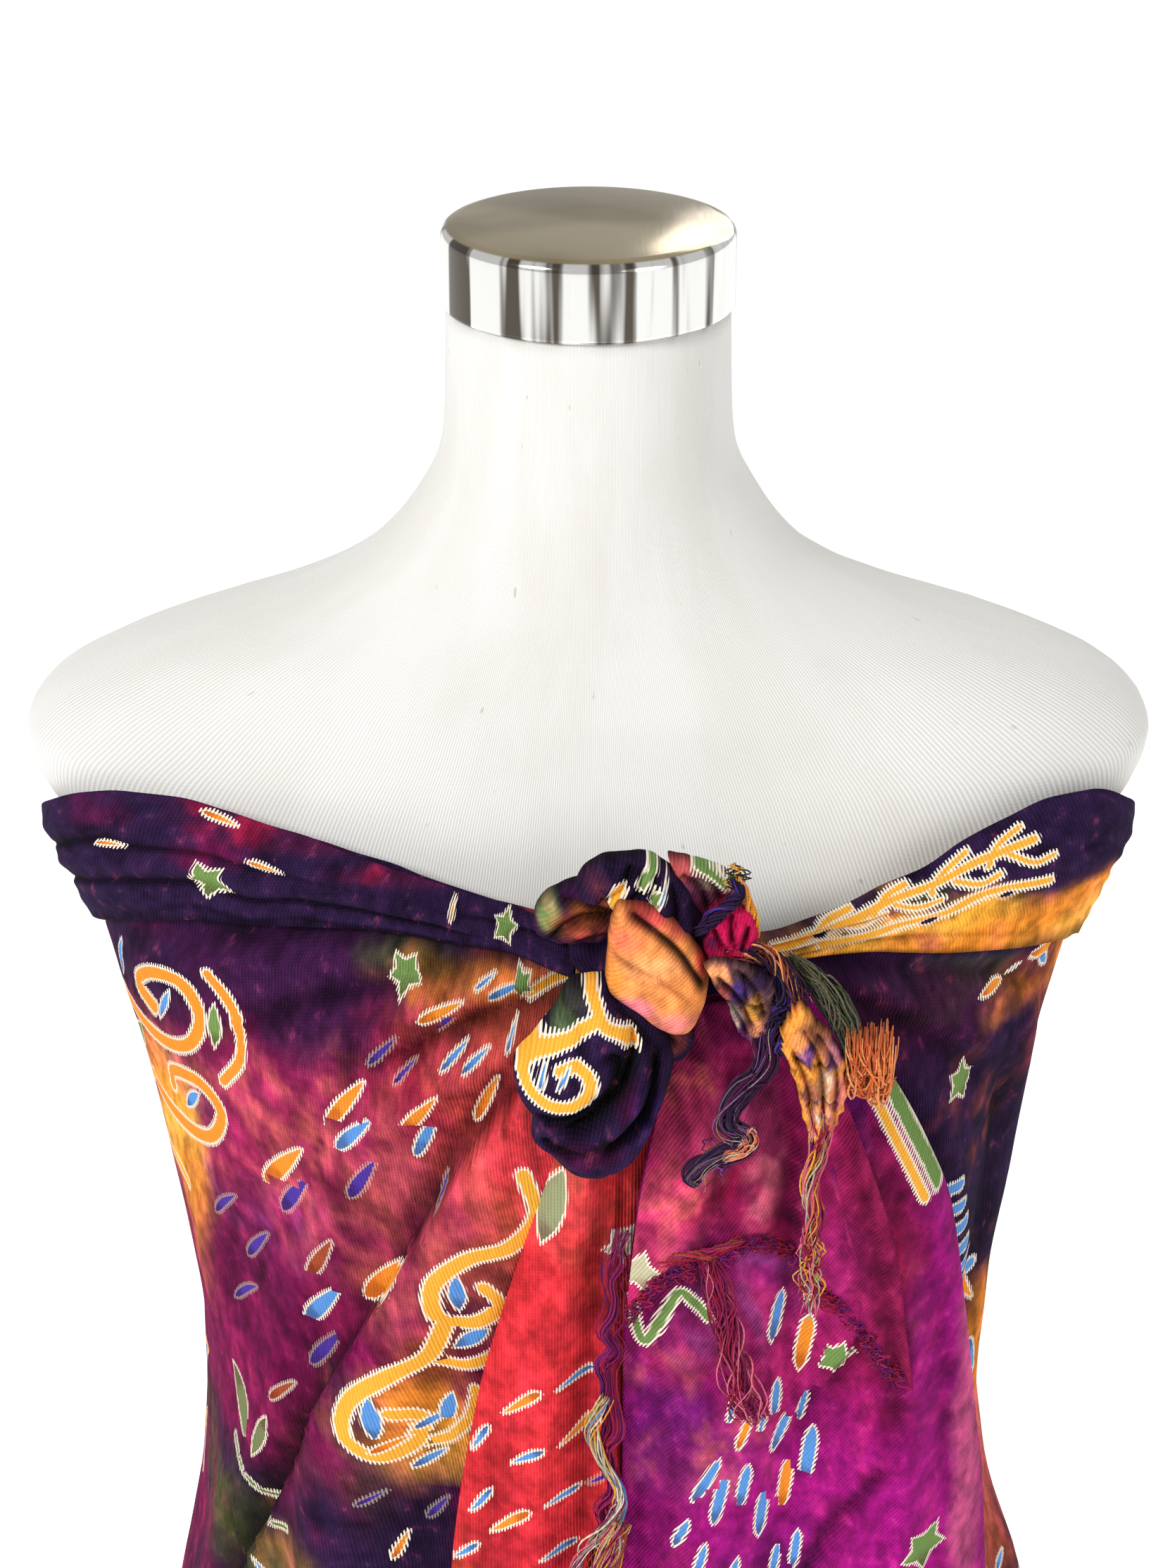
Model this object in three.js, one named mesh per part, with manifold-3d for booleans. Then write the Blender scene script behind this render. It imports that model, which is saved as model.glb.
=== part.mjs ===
// A sarong wound round a limbless dress form and tied in a knot at the bust, its long ends hanging
// in folds from the knot. Millimetres, +Z up. The front faces -Y and the origin is on the floor,
// under the middle of the stand. Angles round the form are degrees from the front, + to its +X side.
import * as THREE from "three";
import { mergeVertices } from "three/addons/utils/BufferGeometryUtils.js";
import Module from "manifold-3d";

// ---- Driving dimensions ----
const SARONG_DEPTH = 1100; // the cut's short side, from top edge to hem
const BACK_TOP_EDGE = 1330; // height of the top edge at the middle of the back
const WALL = 2; // thickness of the wound cloth
const SEAM_GAP = 0.3; // between neighbouring pieces
const KNOT = { x: 18, y: -134, z: 1354 }; // middle of the knot
const NECK_CAP = { radius: 51, height: 28, bevel: 4 };
const FORM_HEIGHT = 1560; // floor to the top of the neck cap
const POLE_RADIUS = 14;
const BASE = { radius: 165, height: 9, collarRadius: 24, collarHeight: 46 };

const HEM = BACK_TOP_EDGE - SARONG_DEPTH;
const NECK_TOP = FORM_HEIGHT - NECK_CAP.height - SEAM_GAP;

// ---- Tables ----
const rowsOf = (columns, rows) =>
  rows.map((row) => Object.fromEntries(columns.split(" ").map((name, i) => [name, row[i]])));

// Level sections of the torso, bottom to top. power is the superellipse's: 2 is an ellipse.
const FORM_SECTIONS = rowsOf("z halfWidth front back power", [
  [846, 142, 84, 92, 2.3],
  [856, 156, 96, 104, 2.3],
  [930, 166, 107, 114, 2.3],
  [1000, 154, 103, 105, 2.3],
  [1060, 134, 97, 90, 2.3],
  [1125, 118, 92, 76, 2.3],
  [1165, 124, 96, 78, 2.3],
  [1210, 139, 104, 82, 2.3],
  [1250, 148, 114, 88, 2.4],
  [1290, 162, 118, 91, 2.5],
  [1320, 169, 112, 90, 2.6],
  [1340, 180, 100, 87, 2.7],
  [1354, 194, 93, 84, 2.7],
  [1366, 202, 88, 82, 2.7],
  [1378, 205, 82, 79, 2.7],
  [1386, 200, 77, 74, 2.6],
  [1393.5, 191, 73, 70, 2.5],
  [1401.5, 175, 69, 66, 2.4],
  [1409, 157, 64, 62, 2.4],
  [1415.5, 136, 61, 59, 2.3],
  [1422, 116, 58, 57, 2.2],
  [1432.5, 92, 55, 54, 2.1],
  [1442.5, 77, 52, 52, 2.1],
  [1459, 63, 50.5, 51, 2],
  [1485, 51, 49.5, 49.5, 2],
  [NECK_TOP, 49.5, 49, 49, 2],
]);
const BUST = { x: 76, z: 1284, height: 10, spread: 42 };

// Level sections of the wound cloth's outer face, from the hem up.
const CLOTH_SECTIONS = rowsOf("z halfWidth front back power", [
  [HEM, 211, 174, 155, 2.3],
  [500, 199, 160, 143, 2.3],
  [700, 190, 150, 135, 2.3],
  [860, 184, 144, 130, 2.3],
  [979, 166, 140, 121, 2.4],
  [1041, 155, 138, 111, 2.4],
  [1120, 152.5, 137, 101, 2.4],
  [1165, 155.5, 137, 99, 2.4],
  [1210, 161, 138, 99, 2.4],
  [1250, 167, 139, 101, 2.4],
  [1290, 175.5, 136, 102, 2.5],
  [1320, 182, 126, 101, 2.6],
  [1336, 187, 117, 98.5, 2.7],
  [1350, 194.5, 108, 96, 2.8],
  [1366, 198, 101, 93, 2.9],
  [1385, 203, 92, 88, 2.9],
]);

// The top edge, and how deep the folded band under it is on either side, by angle from the front.
const TOP_EDGE = rowsOf("angle zLeft zRight left right", [
  [0, 1352, 1347, 12, 9],
  [18, 1356, 1345, 15, 8],
  [27, 1361, 1345, 17.5, 9],
  [35, 1366, 1349, 21, 12],
  [40, 1369.5, 1353, 25, 16],
  [44, 1373, 1357.5, 29, 22],
  [49, 1376, 1362, 33, 29],
  [54, 1379.5, 1369.5, 38, 39],
  [59, 1382, 1375, 45, 48],
  [64, 1381, 1379, 49, 56],
  [68, 1377, 1378, 51, 59],
  [74, 1366, 1367, 48, 56],
  [81, 1353, 1353, 44, 48],
  [92, 1341, 1341, 42, 44],
  [130, 1331, 1331, 42, 42],
  [180, BACK_TOP_EDGE, BACK_TOP_EDGE, 42, 42],
]);
const BAND = { lift: 4.2, bulge: 3.4, creases: 3, creaseDepth: 1.3, knotLift: 20, knotReach: 9 };

// Folds of the wrap: the ridge's angle at four heights, its height there, and its reach in degrees
// on the side away from the front and on the side towards it. A negative height is a trough.
const FOLD_LEVELS = { bust: 1290, waist: 1120, hip: 930, hem: HEM };
const FOLD_COLUMNS = "bust waist hip hem atBust atWaist atHip atHem reachOut reachIn";
const LEFT_FOLDS = rowsOf(FOLD_COLUMNS, [
  [9, 36, 42, 45, 6, 15, 17, 22, 4.5, 11],
  [22, 50, 58, 60, 2, 2, 6, 13, 7, 6],
  [60, 74, 76, 78, 0, -2, 3, 14, 8, 8],
  [84, 92, 95, 97, 0, 2, 5, 15, 8, 8],
  [112, 112, 114, 116, 0, 3, 4, 14, 9, 8],
  [138, 136, 136, 136, 0, 3, 5, 16, 8, 9],
  [162, 159, 158, 157, 0, 3, 5, 15, 8, 8],
]);
const RIGHT_FOLDS = rowsOf(FOLD_COLUMNS, [
  [34, 60, 66, 68, 2, 1, 7, 14, 7, 8],
  [66, 74, 76, 78, 0, 0.5, 6, 13, 7, 8],
  [88, 92, 92, 95, 0, 2, 19, 20, 10, 8],
  [114, 115, 117, 119, 0, 3, 4, 14, 9, 8],
  [139, 139, 140, 141, 0, 3, 5, 16, 8, 8],
  [163, 162, 162, 162, 0, 2, 4, 13, 8, 8],
]);
const FOLD_SETS = { "-1": LEFT_FOLDS, 1: RIGHT_FOLDS };

// The hem rises towards the front, where the knot takes up the top of the cloth.
const HEM_RISE = rowsOf("angle rise", [
  [0, 90],
  [25, 74],
  [60, 30],
  [95, 10],
  [180, 0],
]);

// Where each front edge of the wrap lies, tucked behind a fall: its x at each height.
const TUCKED_EDGES = {
  "-1": rowsOf("z x", [[HEM, 40], [700, 36], [1095, 28], [1200, 14], [1300, 2], [1355, 2]]),
  1: rowsOf("z x", [[HEM, 92], [900, 84], [1095, 72], [1200, 56], [1300, 40], [1355, 34]]),
};

// The falls hang in front of the wrap: the level sections of the face that they follow.
const FALL_SECTIONS = rowsOf("z halfWidth front power", [
  [HEM, 252, 190, 2.4],
  [500, 236, 173, 2.4],
  [700, 224, 161, 2.4],
  [930, 212, 152, 2.4],
  [1120, 186, 148, 2.4],
  [1250, 196, 149, 2.4],
  [1300, 204, 145, 2.4],
  [1350, 214, 138, 2.4],
]);

// Each fall: x of both edges by height, and its section as share of that width against lift.
const FALL_LEFT = {
  edges: rowsOf("z left right", [
    [HEM, -70, 78],
    [480, -64, 70],
    [800, -58, 66],
    [1000, -54, 64],
    [1095, -50, 60],
    [1176, -39, 50],
    [1217, -29, 40],
    [1254, -18, 28],
    [1300, -5, 18],
    [1330, 4, 20],
  ]),
  profile: rowsOf("share lift", [
    [0.02, -4], [0, -1], [0.05, 3], [0.16, 7], [0.3, 8], [0.42, 3], [0.52, 4], [0.62, -2],
    [0.8, -3], [1, -3],
  ]),
  top: rowsOf("share z", [[0, 1322], [1, 1326]]),
  hem: rowsOf("share z", [[0, 336], [0.3, 352], [1, 462]]),
};
const FALL_RIGHT = {
  edges: rowsOf("z left right", [
    [HEM, 0, 182],
    [480, 3, 173],
    [800, 6, 164],
    [1000, 7, 158],
    [1099, 8, 153],
    [1152, 12, 146],
    [1201, 12, 139],
    [1248, 15, 130],
    [1273, 18, 120],
    [1298, 23, 107],
    [1328, 31, 84],
    [1345, 34, 62],
  ]),
  profile: rowsOf("share lift", [
    [0, 7], [0.08, 9], [0.2, 13], [0.33, 12], [0.45, 6], [0.56, 10], [0.7, 18], [0.84, 20],
    [0.94, 15], [1, 6], [0.99, -3], [0.955, -8],
  ]),
  top: rowsOf("share z", [[0, 1336], [1, 1342]]),
  hem: rowsOf("share z", [[0, 486], [0.5, 420], [1, 330]]),
};
// The frayed corner that lies on the right fall: its lower edge by x, and its lift off the fall.
const FLAP = { lift: 3.4, sideGap: 1.5, shareTop: 0.6, shareBottom: 0.62 };
const FLAP_EDGE = rowsOf("share z", [[0, 1222], [0.25, 1244], [0.5, 1252], [0.75, 1232], [1, 1190]]);

// ---- Small mathematics ----
const radians = THREE.MathUtils.degToRad;
const mix = THREE.MathUtils.lerp;

// Every column of a table at one value of its key, on monotone cubics through the rows.
function lookUp(rows, keyName, key) {
  const last = rows.length - 1;
  const at = THREE.MathUtils.clamp(key, rows[0][keyName], rows[last][keyName]);
  let i = 0;
  while (i < last - 1 && at > rows[i + 1][keyName]) i += 1;
  const found = {};
  for (const name of Object.keys(rows[0])) {
    const secant = (k) =>
      (rows[k + 1][name] - rows[k][name]) / (rows[k + 1][keyName] - rows[k][keyName]);
    const slope = (k) => {
      if (k === 0) return secant(0);
      if (k === last) return secant(last - 1);
      const before = secant(k - 1);
      const after = secant(k);
      return before * after > 0 ? (2 * before * after) / (before + after) : 0;
    };
    const span = rows[i + 1][keyName] - rows[i][keyName];
    const t = (at - rows[i][keyName]) / span;
    found[name] =
      rows[i][name] * (1 + 2 * t) * (1 - t) ** 2 +
      slope(i) * span * t * (1 - t) ** 2 +
      rows[i + 1][name] * t * t * (3 - 2 * t) -
      slope(i + 1) * span * t * t * (1 - t);
  }
  return found;
}

// A point of a level section at an angle, lifted off its face.
function ringPoint(section, degrees, lift) {
  const sine = Math.sin(radians(degrees));
  const cosine = Math.cos(radians(degrees));
  const depth = (cosine > 0 ? section.front : section.back) + lift;
  const width = section.halfWidth + lift;
  const { power } = section;
  const radius = (Math.abs(sine / width) ** power + Math.abs(cosine / depth) ** power) ** (-1 / power);
  return new THREE.Vector3(radius * sine, -radius * cosine, section.z);
}

// How far the front of a level section stands out at x.
const frontDepth = ({ halfWidth, front, power }, x) =>
  front * (1 - Math.min(Math.abs(x / halfWidth), 0.999) ** power) ** (1 / power);

// ---- Solids ----
const wasm = await Module();
wasm.setup();

function solidOf(geometry) {
  const bare = geometry.clone();
  bare.deleteAttribute("normal");
  bare.deleteAttribute("uv");
  const merged = mergeVertices(bare, 1e-3);
  return new wasm.Manifold(
    new wasm.Mesh({
      numProp: 3,
      vertProperties: new Float32Array(merged.attributes.position.array),
      triVerts: new Uint32Array(merged.index.array),
    }),
  );
}

function geometryOf(solid) {
  const mesh = solid.getMesh();
  const geometry = new THREE.BufferGeometry();
  geometry.setAttribute("position", new THREE.BufferAttribute(mesh.vertProperties, 3));
  geometry.setIndex(new THREE.BufferAttribute(mesh.triVerts, 1));
  return geometry;
}

// The largest body of a piece after its neighbours, already grown by the seam gap, are cut out of it.
function cutBy(geometry, ...neighbours) {
  let solid = solidOf(geometry);
  for (const neighbour of neighbours) solid = solid.subtract(solidOf(neighbour));
  const bodies = solid.decompose().sort((a, b) => b.volume() - a.volume());
  return geometryOf(bodies[0]);
}

function meshOf(points, triangles) {
  const geometry = new THREE.BufferGeometry();
  geometry.setAttribute(
    "position",
    new THREE.Float32BufferAttribute(points.flatMap((p) => p.toArray()), 3),
  );
  geometry.setIndex(triangles);
  return geometry;
}

// A closed wall. pointAt(across, down) is on its outer face, both from 0 to 1. Across runs towards
// +X as seen from outside, and turned is true where it runs the other way.
function clothWall({ pointAt, columns, rows, downAt = (v) => v, thickness = WALL, turned = false }) {
  const outer = [];
  const inner = [];
  const step = 1e-3;
  for (let j = 0; j <= rows; j += 1) {
    for (let i = 0; i <= columns; i += 1) {
      const u = i / columns;
      const v = downAt(j / rows);
      const across = pointAt(Math.min(u + step, 1), v).sub(pointAt(Math.max(u - step, 0), v));
      const down = pointAt(u, Math.min(v + step, 1)).sub(pointAt(u, Math.max(v - step, 0)));
      const outward = down.cross(across).normalize();
      if (turned) outward.negate();
      outer.push(pointAt(u, v));
      inner.push(pointAt(u, v).addScaledVector(outward, -thickness));
    }
  }
  const width = columns + 1;
  const count = outer.length;
  const triangles = [];
  const quad = (a, b, c, d) => triangles.push(...(turned ? [a, c, b, a, d, c] : [a, b, c, a, c, d]));
  for (let j = 0; j < rows; j += 1) {
    for (let i = 0; i < columns; i += 1) {
      const at = j * width + i;
      quad(at, at + width, at + width + 1, at + 1);
      quad(count + at, count + at + 1, count + at + width + 1, count + at + width);
    }
  }
  for (let i = 0; i < columns; i += 1) {
    const low = rows * width + i;
    quad(i, i + 1, count + i + 1, count + i);
    quad(low + 1, low, count + low, count + low + 1);
  }
  for (let j = 0; j < rows; j += 1) {
    const left = j * width;
    const right = left + columns;
    quad(left + width, left, count + left, count + left + width);
    quad(right, right + width, count + right + width, count + right);
  }
  return meshOf([...outer, ...inner], triangles);
}

// A closed roll along a path of rows with x y z, its half width and its half depth towards the front.
function roll({ path, sides = 7, steps = 10 }, grow = 0) {
  const curve = new THREE.CatmullRomCurve3(path.map((p) => new THREE.Vector3(p.x, p.y, p.z)));
  const points = [];
  for (let j = 0; j <= steps; j += 1) {
    const t = j / steps;
    const at = lookUp(path.map((p, i) => ({ ...p, t: i / (path.length - 1) })), "t", t);
    const along = curve.getTangent(t);
    const front = new THREE.Vector3(0, -1, 0);
    front.addScaledVector(along, -front.dot(along)).normalize();
    const side = new THREE.Vector3().crossVectors(front, along);
    for (let i = 0; i < sides; i += 1) {
      const turn = (i / sides) * 2 * Math.PI;
      points.push(
        curve
          .getPoint(t)
          .addScaledVector(side, (at.width + grow) * Math.cos(turn))
          .addScaledVector(front, (at.depth + grow) * Math.sin(turn)),
      );
    }
  }
  const triangles = [];
  for (let j = 0; j < steps; j += 1) {
    for (let i = 0; i < sides; i += 1) {
      const a = j * sides + i;
      const b = j * sides + ((i + 1) % sides);
      triangles.push(a, b, b + sides, a, b + sides, a + sides);
    }
  }
  const last = steps * sides;
  for (let i = 1; i < sides - 1; i += 1) {
    triangles.push(0, i + 1, i, last, last + i, last + i + 1);
  }
  return meshOf(points, triangles);
}

// Three-sided locks of yarn, each fused at its root into a backing solid.
function withLocks(backing, locks) {
  let solid = solidOf(backing);
  for (const { root, fall, width } of locks) {
    const path = fall.map((offset, i) => ({
      ...root.clone().add(offset),
      width: width * (1 - (0.6 * i) / (fall.length - 1)),
      depth: width * (1 - (0.6 * i) / (fall.length - 1)),
    }));
    solid = solid.add(solidOf(roll({ path, sides: 3, steps: fall.length - 1 })));
  }
  return geometryOf(solid);
}

// ---- Dress form ----
function formTorso() {
  const around = 30;
  const upward = FORM_SECTIONS.length - 1;
  const points = [];
  for (let j = 0; j <= upward; j += 1) {
    const section = FORM_SECTIONS[j];
    const { z } = section;
    for (let i = 0; i < around; i += 1) {
      const point = ringPoint(section, (i / around) * 360, 0);
      if (point.y < 0) {
        const away = Math.hypot(Math.abs(point.x) - BUST.x, z - BUST.z) / BUST.spread;
        point.y -= BUST.height * Math.exp(-away * away);
      }
      points.push(point);
    }
  }
  const triangles = [];
  for (let j = 0; j < upward; j += 1) {
    for (let i = 0; i < around; i += 1) {
      const a = j * around + i;
      const b = j * around + ((i + 1) % around);
      triangles.push(a, b, b + around, a, b + around, a + around);
    }
  }
  const last = upward * around;
  for (let i = 1; i < around - 1; i += 1) {
    triangles.push(0, i + 1, i, last, last + i, last + i + 1);
  }
  return meshOf(points, triangles);
}

function turnedProfile(rows, segments) {
  const profile = rows.map(([radius, z]) => new THREE.Vector2(radius, z));
  return new THREE.LatheGeometry(profile, segments).rotateX(Math.PI / 2);
}

function neckCap() {
  const { radius, height, bevel } = NECK_CAP;
  const foot = FORM_HEIGHT - height;
  return turnedProfile(
    [
      [0, foot],
      [radius, foot],
      [radius, FORM_HEIGHT - bevel],
      [radius - bevel * 0.3, FORM_HEIGHT - bevel * 0.3],
      [radius - bevel, FORM_HEIGHT],
      [0, FORM_HEIGHT],
    ],
    36,
  );
}

function formPole() {
  const foot = BASE.collarHeight + SEAM_GAP;
  const top = FORM_SECTIONS[0].z - SEAM_GAP;
  return turnedProfile([[0, foot], [POLE_RADIUS, foot], [POLE_RADIUS, top], [0, top]], 20);
}

function formBase() {
  const { radius, height, collarRadius, collarHeight } = BASE;
  const rounding = 4;
  return turnedProfile(
    [
      [0, 0],
      [radius, 0],
      [radius, height - rounding],
      [radius - rounding, height],
      [collarRadius + rounding, height],
      [collarRadius, height + rounding],
      [collarRadius, collarHeight],
      [0, collarHeight],
    ],
    40,
  );
}

// ---- Knot ----
const KNOT_CORE = { width: 25, depth: 17, height: 19 };
const knotCore = (grow = 0) =>
  new THREE.SphereGeometry(1, 14, 9)
    .scale(KNOT_CORE.width + grow, KNOT_CORE.depth + grow, KNOT_CORE.height + grow)
    .translate(KNOT.x, KNOT.y, KNOT.z);

const ROLL_COLUMNS = "x y z width depth";
const CROWN = {
  sides: 8,
  steps: 12,
  path: rowsOf(ROLL_COLUMNS, [
    [-14, -124, 1358, 6, 6],
    [-8, -136, 1366, 9, 9],
    [2, -143, 1375, 11, 10],
    [14, -147, 1380, 12, 11],
    [27, -146, 1377, 11, 11],
    [38, -142, 1370, 9, 9],
    [48, -136, 1366, 7, 7],
    [54, -128, 1357, 5, 5],
  ]),
};
const CROSS_BAND = {
  sides: 8,
  steps: 10,
  path: rowsOf(ROLL_COLUMNS, [
    [15, -147, 1374, 9, 4],
    [18, -158, 1366, 14, 5],
    [22, -165, 1355, 16, 5],
    [27, -164, 1343, 13, 5],
    [31, -156, 1332, 8, 4],
  ]),
};
const LOOP = {
  sides: 8,
  steps: 10,
  path: rowsOf(ROLL_COLUMNS, [
    [6, -150, 1344, 9, 6],
    [-2, -160, 1334, 19, 9],
    [-3, -167, 1319, 23, 13],
    [-1, -168, 1302, 22, 14],
    [-1, -165, 1288, 15, 11],
    [-2, -160, 1280, 7, 6],
  ]),
};
const BUD = {
  sides: 7,
  steps: 6,
  path: rowsOf(ROLL_COLUMNS, [
    [46, -143, 1375, 4, 4],
    [46, -152, 1369, 8, 7],
    [46, -155, 1361, 8.5, 8],
    [46, -152, 1354, 4, 4],
  ]),
};
const CURL = {
  sides: 6,
  steps: 14,
  path: rowsOf(ROLL_COLUMNS, [
    [44, -160, 1349, 5, 3],
    [52, -168, 1342, 10, 4],
    [56, -172, 1333, 8, 4],
    [56, -175, 1324, 4, 3],
    [48, -176, 1313, 4, 3],
    [50, -176, 1302, 4, 3],
    [40, -176, 1294, 3, 2.5],
    [33, -176, 1285, 1.8, 1.8],
  ]),
};
const LONG = {
  sides: 6,
  steps: 12,
  path: rowsOf(ROLL_COLUMNS, [
    [59, -149, 1355, 5, 3],
    [69, -162, 1346, 9, 4],
    [75, -171, 1335, 11, 4],
    [78, -176, 1321, 11, 4],
    [77, -178, 1306, 8, 4],
    [74, -179, 1288, 3.5, 3],
    [73, -179, 1265, 2.2, 2.2],
  ]),
};
const TASSEL = {
  sides: 6,
  steps: 6,
  path: rowsOf(ROLL_COLUMNS, [
    [68, -142, 1351, 4, 3],
    [77, -153, 1346, 6, 4],
    [86, -163, 1341, 7, 4],
    [93, -170, 1333, 9, 5],
  ]),
};

// ---- Wound cloth ----
// Height of the folds of one side of the wrap over its plain face.
function foldRelief(side, degrees, z) {
  const away = Math.abs(degrees);
  const levels = Object.entries(FOLD_LEVELS).reverse();
  let relief = 0;
  for (const fold of FOLD_SETS[side]) {
    const at = lookUp(
      levels.map(([level, height]) => ({
        z: height,
        angle: fold[level],
        rise: fold["at" + level[0].toUpperCase() + level.slice(1)],
      })),
      "z",
      z,
    );
    const belowBand = THREE.MathUtils.smoothstep(1345 - z, 0, 60);
    const fade = belowBand * THREE.MathUtils.smoothstep(180 - away, 0, 14);
    const reach = away > at.angle ? fold.reachOut : fold.reachIn;
    relief += fade * at.rise * Math.exp(-(((away - at.angle) / reach) ** 2));
  }
  return relief;
}

const hemAt = (degrees) => HEM + lookUp(HEM_RISE, "angle", Math.abs(degrees)).rise;
// How far the wrap's own edge lies below the top of the band: at most this, and half its depth.
const UNDER_BAND = 9;
const topEdge = (side, degrees) => {
  const edge = lookUp(TOP_EDGE, "angle", degrees);
  return side < 0 ? { z: edge.zLeft, depth: edge.left } : { z: edge.zRight, depth: edge.right };
};

// One side of the wrap, from its edge tucked behind a fall to the middle of the back.
function wrapPoint(side, across, down) {
  const backAngle = 180 - 0.09;
  const rough = mix(12, backAngle, across);
  const edge = topEdge(side, rough);
  const top = edge.z - Math.min(UNDER_BAND, edge.depth / 2);
  const z = mix(top, hemAt(rough), down);
  const section = lookUp(CLOTH_SECTIONS, "z", z);
  const edgeX = lookUp(TUCKED_EDGES[side], "z", z).x;
  const firstAngle = (side * 180 * Math.atan2(edgeX, frontDepth(section, edgeX))) / Math.PI;
  const degrees = side * mix(firstAngle, backAngle, across);
  return ringPoint(section, degrees, foldRelief(side, degrees, z));
}

// The folded band along the top edge, which comes forward into the knot.
function bandPoint(side, across, down) {
  const degrees = mix(2, 180 - 0.09, across);
  const edge = topEdge(side, degrees);
  const z = edge.z - edge.depth * down;
  const creases = BAND.creaseDepth * Math.cos(2 * Math.PI * BAND.creases * down);
  const toKnot = BAND.knotLift * Math.exp(-((degrees / BAND.knotReach) ** 2));
  const lift = BAND.lift + BAND.bulge * Math.sin(Math.PI * down) - creases * Math.sin(Math.PI * down);
  return ringPoint(lookUp(CLOTH_SECTIONS, "z", z), side * degrees, lift + toKnot);
}

function fallPoint(fall, across, down, lift = 0) {
  const curve = new THREE.SplineCurve(fall.profile.map((p) => new THREE.Vector2(p.share, p.lift)));
  const at = curve.getPoint(across);
  const share = THREE.MathUtils.clamp(at.x, 0, 1);
  const top = lookUp(fall.top, "share", share).z;
  const z = mix(top, lookUp(fall.hem, "share", share).z, down);
  const edges = lookUp(fall.edges, "z", z);
  const x = mix(edges.left, edges.right, at.x);
  const settled = THREE.MathUtils.smoothstep(1350 - z, 0, 90);
  const widening = mix(0.45, 1, settled) * mix(1, 1.3, THREE.MathUtils.smoothstep(1100 - z, 0, 700));
  const face = frontDepth(lookUp(FALL_SECTIONS, "z", z), x);
  return new THREE.Vector3(x, -face - at.y * widening - lift, z);
}

function flapPoint(across, down) {
  const share = across * mix(FLAP.shareTop, FLAP.shareBottom, down);
  const low = lookUp(FLAP_EDGE, "share", across).z;
  const { top, hem } = FALL_RIGHT;
  const topZ = lookUp(top, "share", share).z - 2;
  const hemZ = lookUp(hem, "share", share).z;
  const z = mix(topZ, low, down);
  return fallPoint(FALL_RIGHT, share, (topZ - z) / (topZ - hemZ), FLAP.lift + WALL);
}

const longRows = (v) => mix(v, v * v, 0.45);

const flapWall = () => clothWall({ pointAt: flapPoint, columns: 9, rows: 8 });

const wrapWall = (side, columns) =>
  clothWall({
    pointAt: (u, v) => wrapPoint(side, u, v),
    columns,
    rows: 16,
    downAt: longRows,
    turned: side < 0,
  });

const bandWall = (side) =>
  clothWall({ pointAt: (u, v) => bandPoint(side, u, v), columns: 20, rows: 5, turned: side < 0 });

const fallWall = (fall, columns) =>
  clothWall({ pointAt: (u, v) => fallPoint(fall, u, v), columns, rows: 15, downAt: longRows });

// ---- Frayed ends ----
// A narrow strip beside the right fall's frayed edge, with locks in clusters down its length.
function endFringe() {
  const strip = { width: 2.2, depth: 1.6, gap: 3.2, first: 0.095, last: 0.985, points: 18 };
  const path = [];
  for (let i = 0; i < strip.points; i += 1) {
    const down = mix(strip.first, strip.last, i / (strip.points - 1));
    const edge = fallPoint(FALL_RIGHT, 0, down);
    const sway = 1.6 * Math.sin(i * 2.1);
    path.push({
      x: edge.x - strip.gap - strip.width - 1.6 + sway,
      y: edge.y - 3 + 0.8 * Math.cos(i * 1.7),
      z: edge.z,
      width: strip.width,
      depth: strip.depth,
    });
  }
  const locks = [];
  const lockCount = 26;
  for (let i = 0; i < lockCount; i += 1) {
    const place = (i / lockCount) * (path.length - 2) + 0.5;
    const row = path[Math.floor(place)];
    const next = path[Math.floor(place) + 1];
    const root = new THREE.Vector3(
      mix(row.x, next.x, place % 1),
      mix(row.y, next.y, place % 1),
      mix(row.z, next.z, place % 1),
    );
    const length = 30 + 16 * Math.sin(i * 1.9) ** 2;
    const out = -3 - 4 * Math.sin(i * 2.3) ** 2;
    const fall = [
      new THREE.Vector3(0, 0, 0.4),
      new THREE.Vector3(out, -2.6, -length * 0.4),
      new THREE.Vector3(out + 1.5 * Math.sin(i), -3.2, -length),
    ];
    locks.push({ root, fall, width: 1.5 });
  }
  return withLocks(roll({ path, sides: 4, steps: path.length - 1 }), locks);
}

// Locks that hang from the end of a tail, spread across it.
function endLocks({ path }, count, length, spread, width) {
  const end = path[path.length - 1];
  const before = path[path.length - 2];
  const locks = [];
  for (let i = 0; i < count; i += 1) {
    const share = count > 1 ? (2 * i) / (count - 1) - 1 : 0;
    const root = new THREE.Vector3(end.x + share * end.width * 0.5, end.y, mix(end.z, before.z, 0.04));
    const drop = length * (0.8 + 0.2 * Math.sin(i * 2.4));
    const fall = [
      new THREE.Vector3(0, 0, 2),
      new THREE.Vector3(share * spread * 0.7, -1.5 * Math.sin(i), -drop * 0.45),
      new THREE.Vector3(share * spread, -1.5 * Math.cos(i), -drop),
    ];
    locks.push({ root, fall, width });
  }
  return locks;
}

// ---- The object ----
const part = new THREE.Group();

const MATERIALS = {
  formCover: { color: 0xe9e5da, roughness: 0.9, metalness: 0 },
  chrome: { color: 0xcfcdc6, roughness: 0.12, metalness: 1 },
  violetCloth: { color: 0x4a1f4a, roughness: 0.85, metalness: 0 },
  nightCloth: { color: 0x231a35, roughness: 0.85, metalness: 0 },
  redCloth: { color: 0xc02a3c, roughness: 0.85, metalness: 0 },
  magentaCloth: { color: 0x8c1c5c, roughness: 0.85, metalness: 0 },
  apricotCloth: { color: 0xe88a55, roughness: 0.85, metalness: 0 },
  yarn: { color: 0xc07a4a, roughness: 0.95, metalness: 0 },
};

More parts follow.
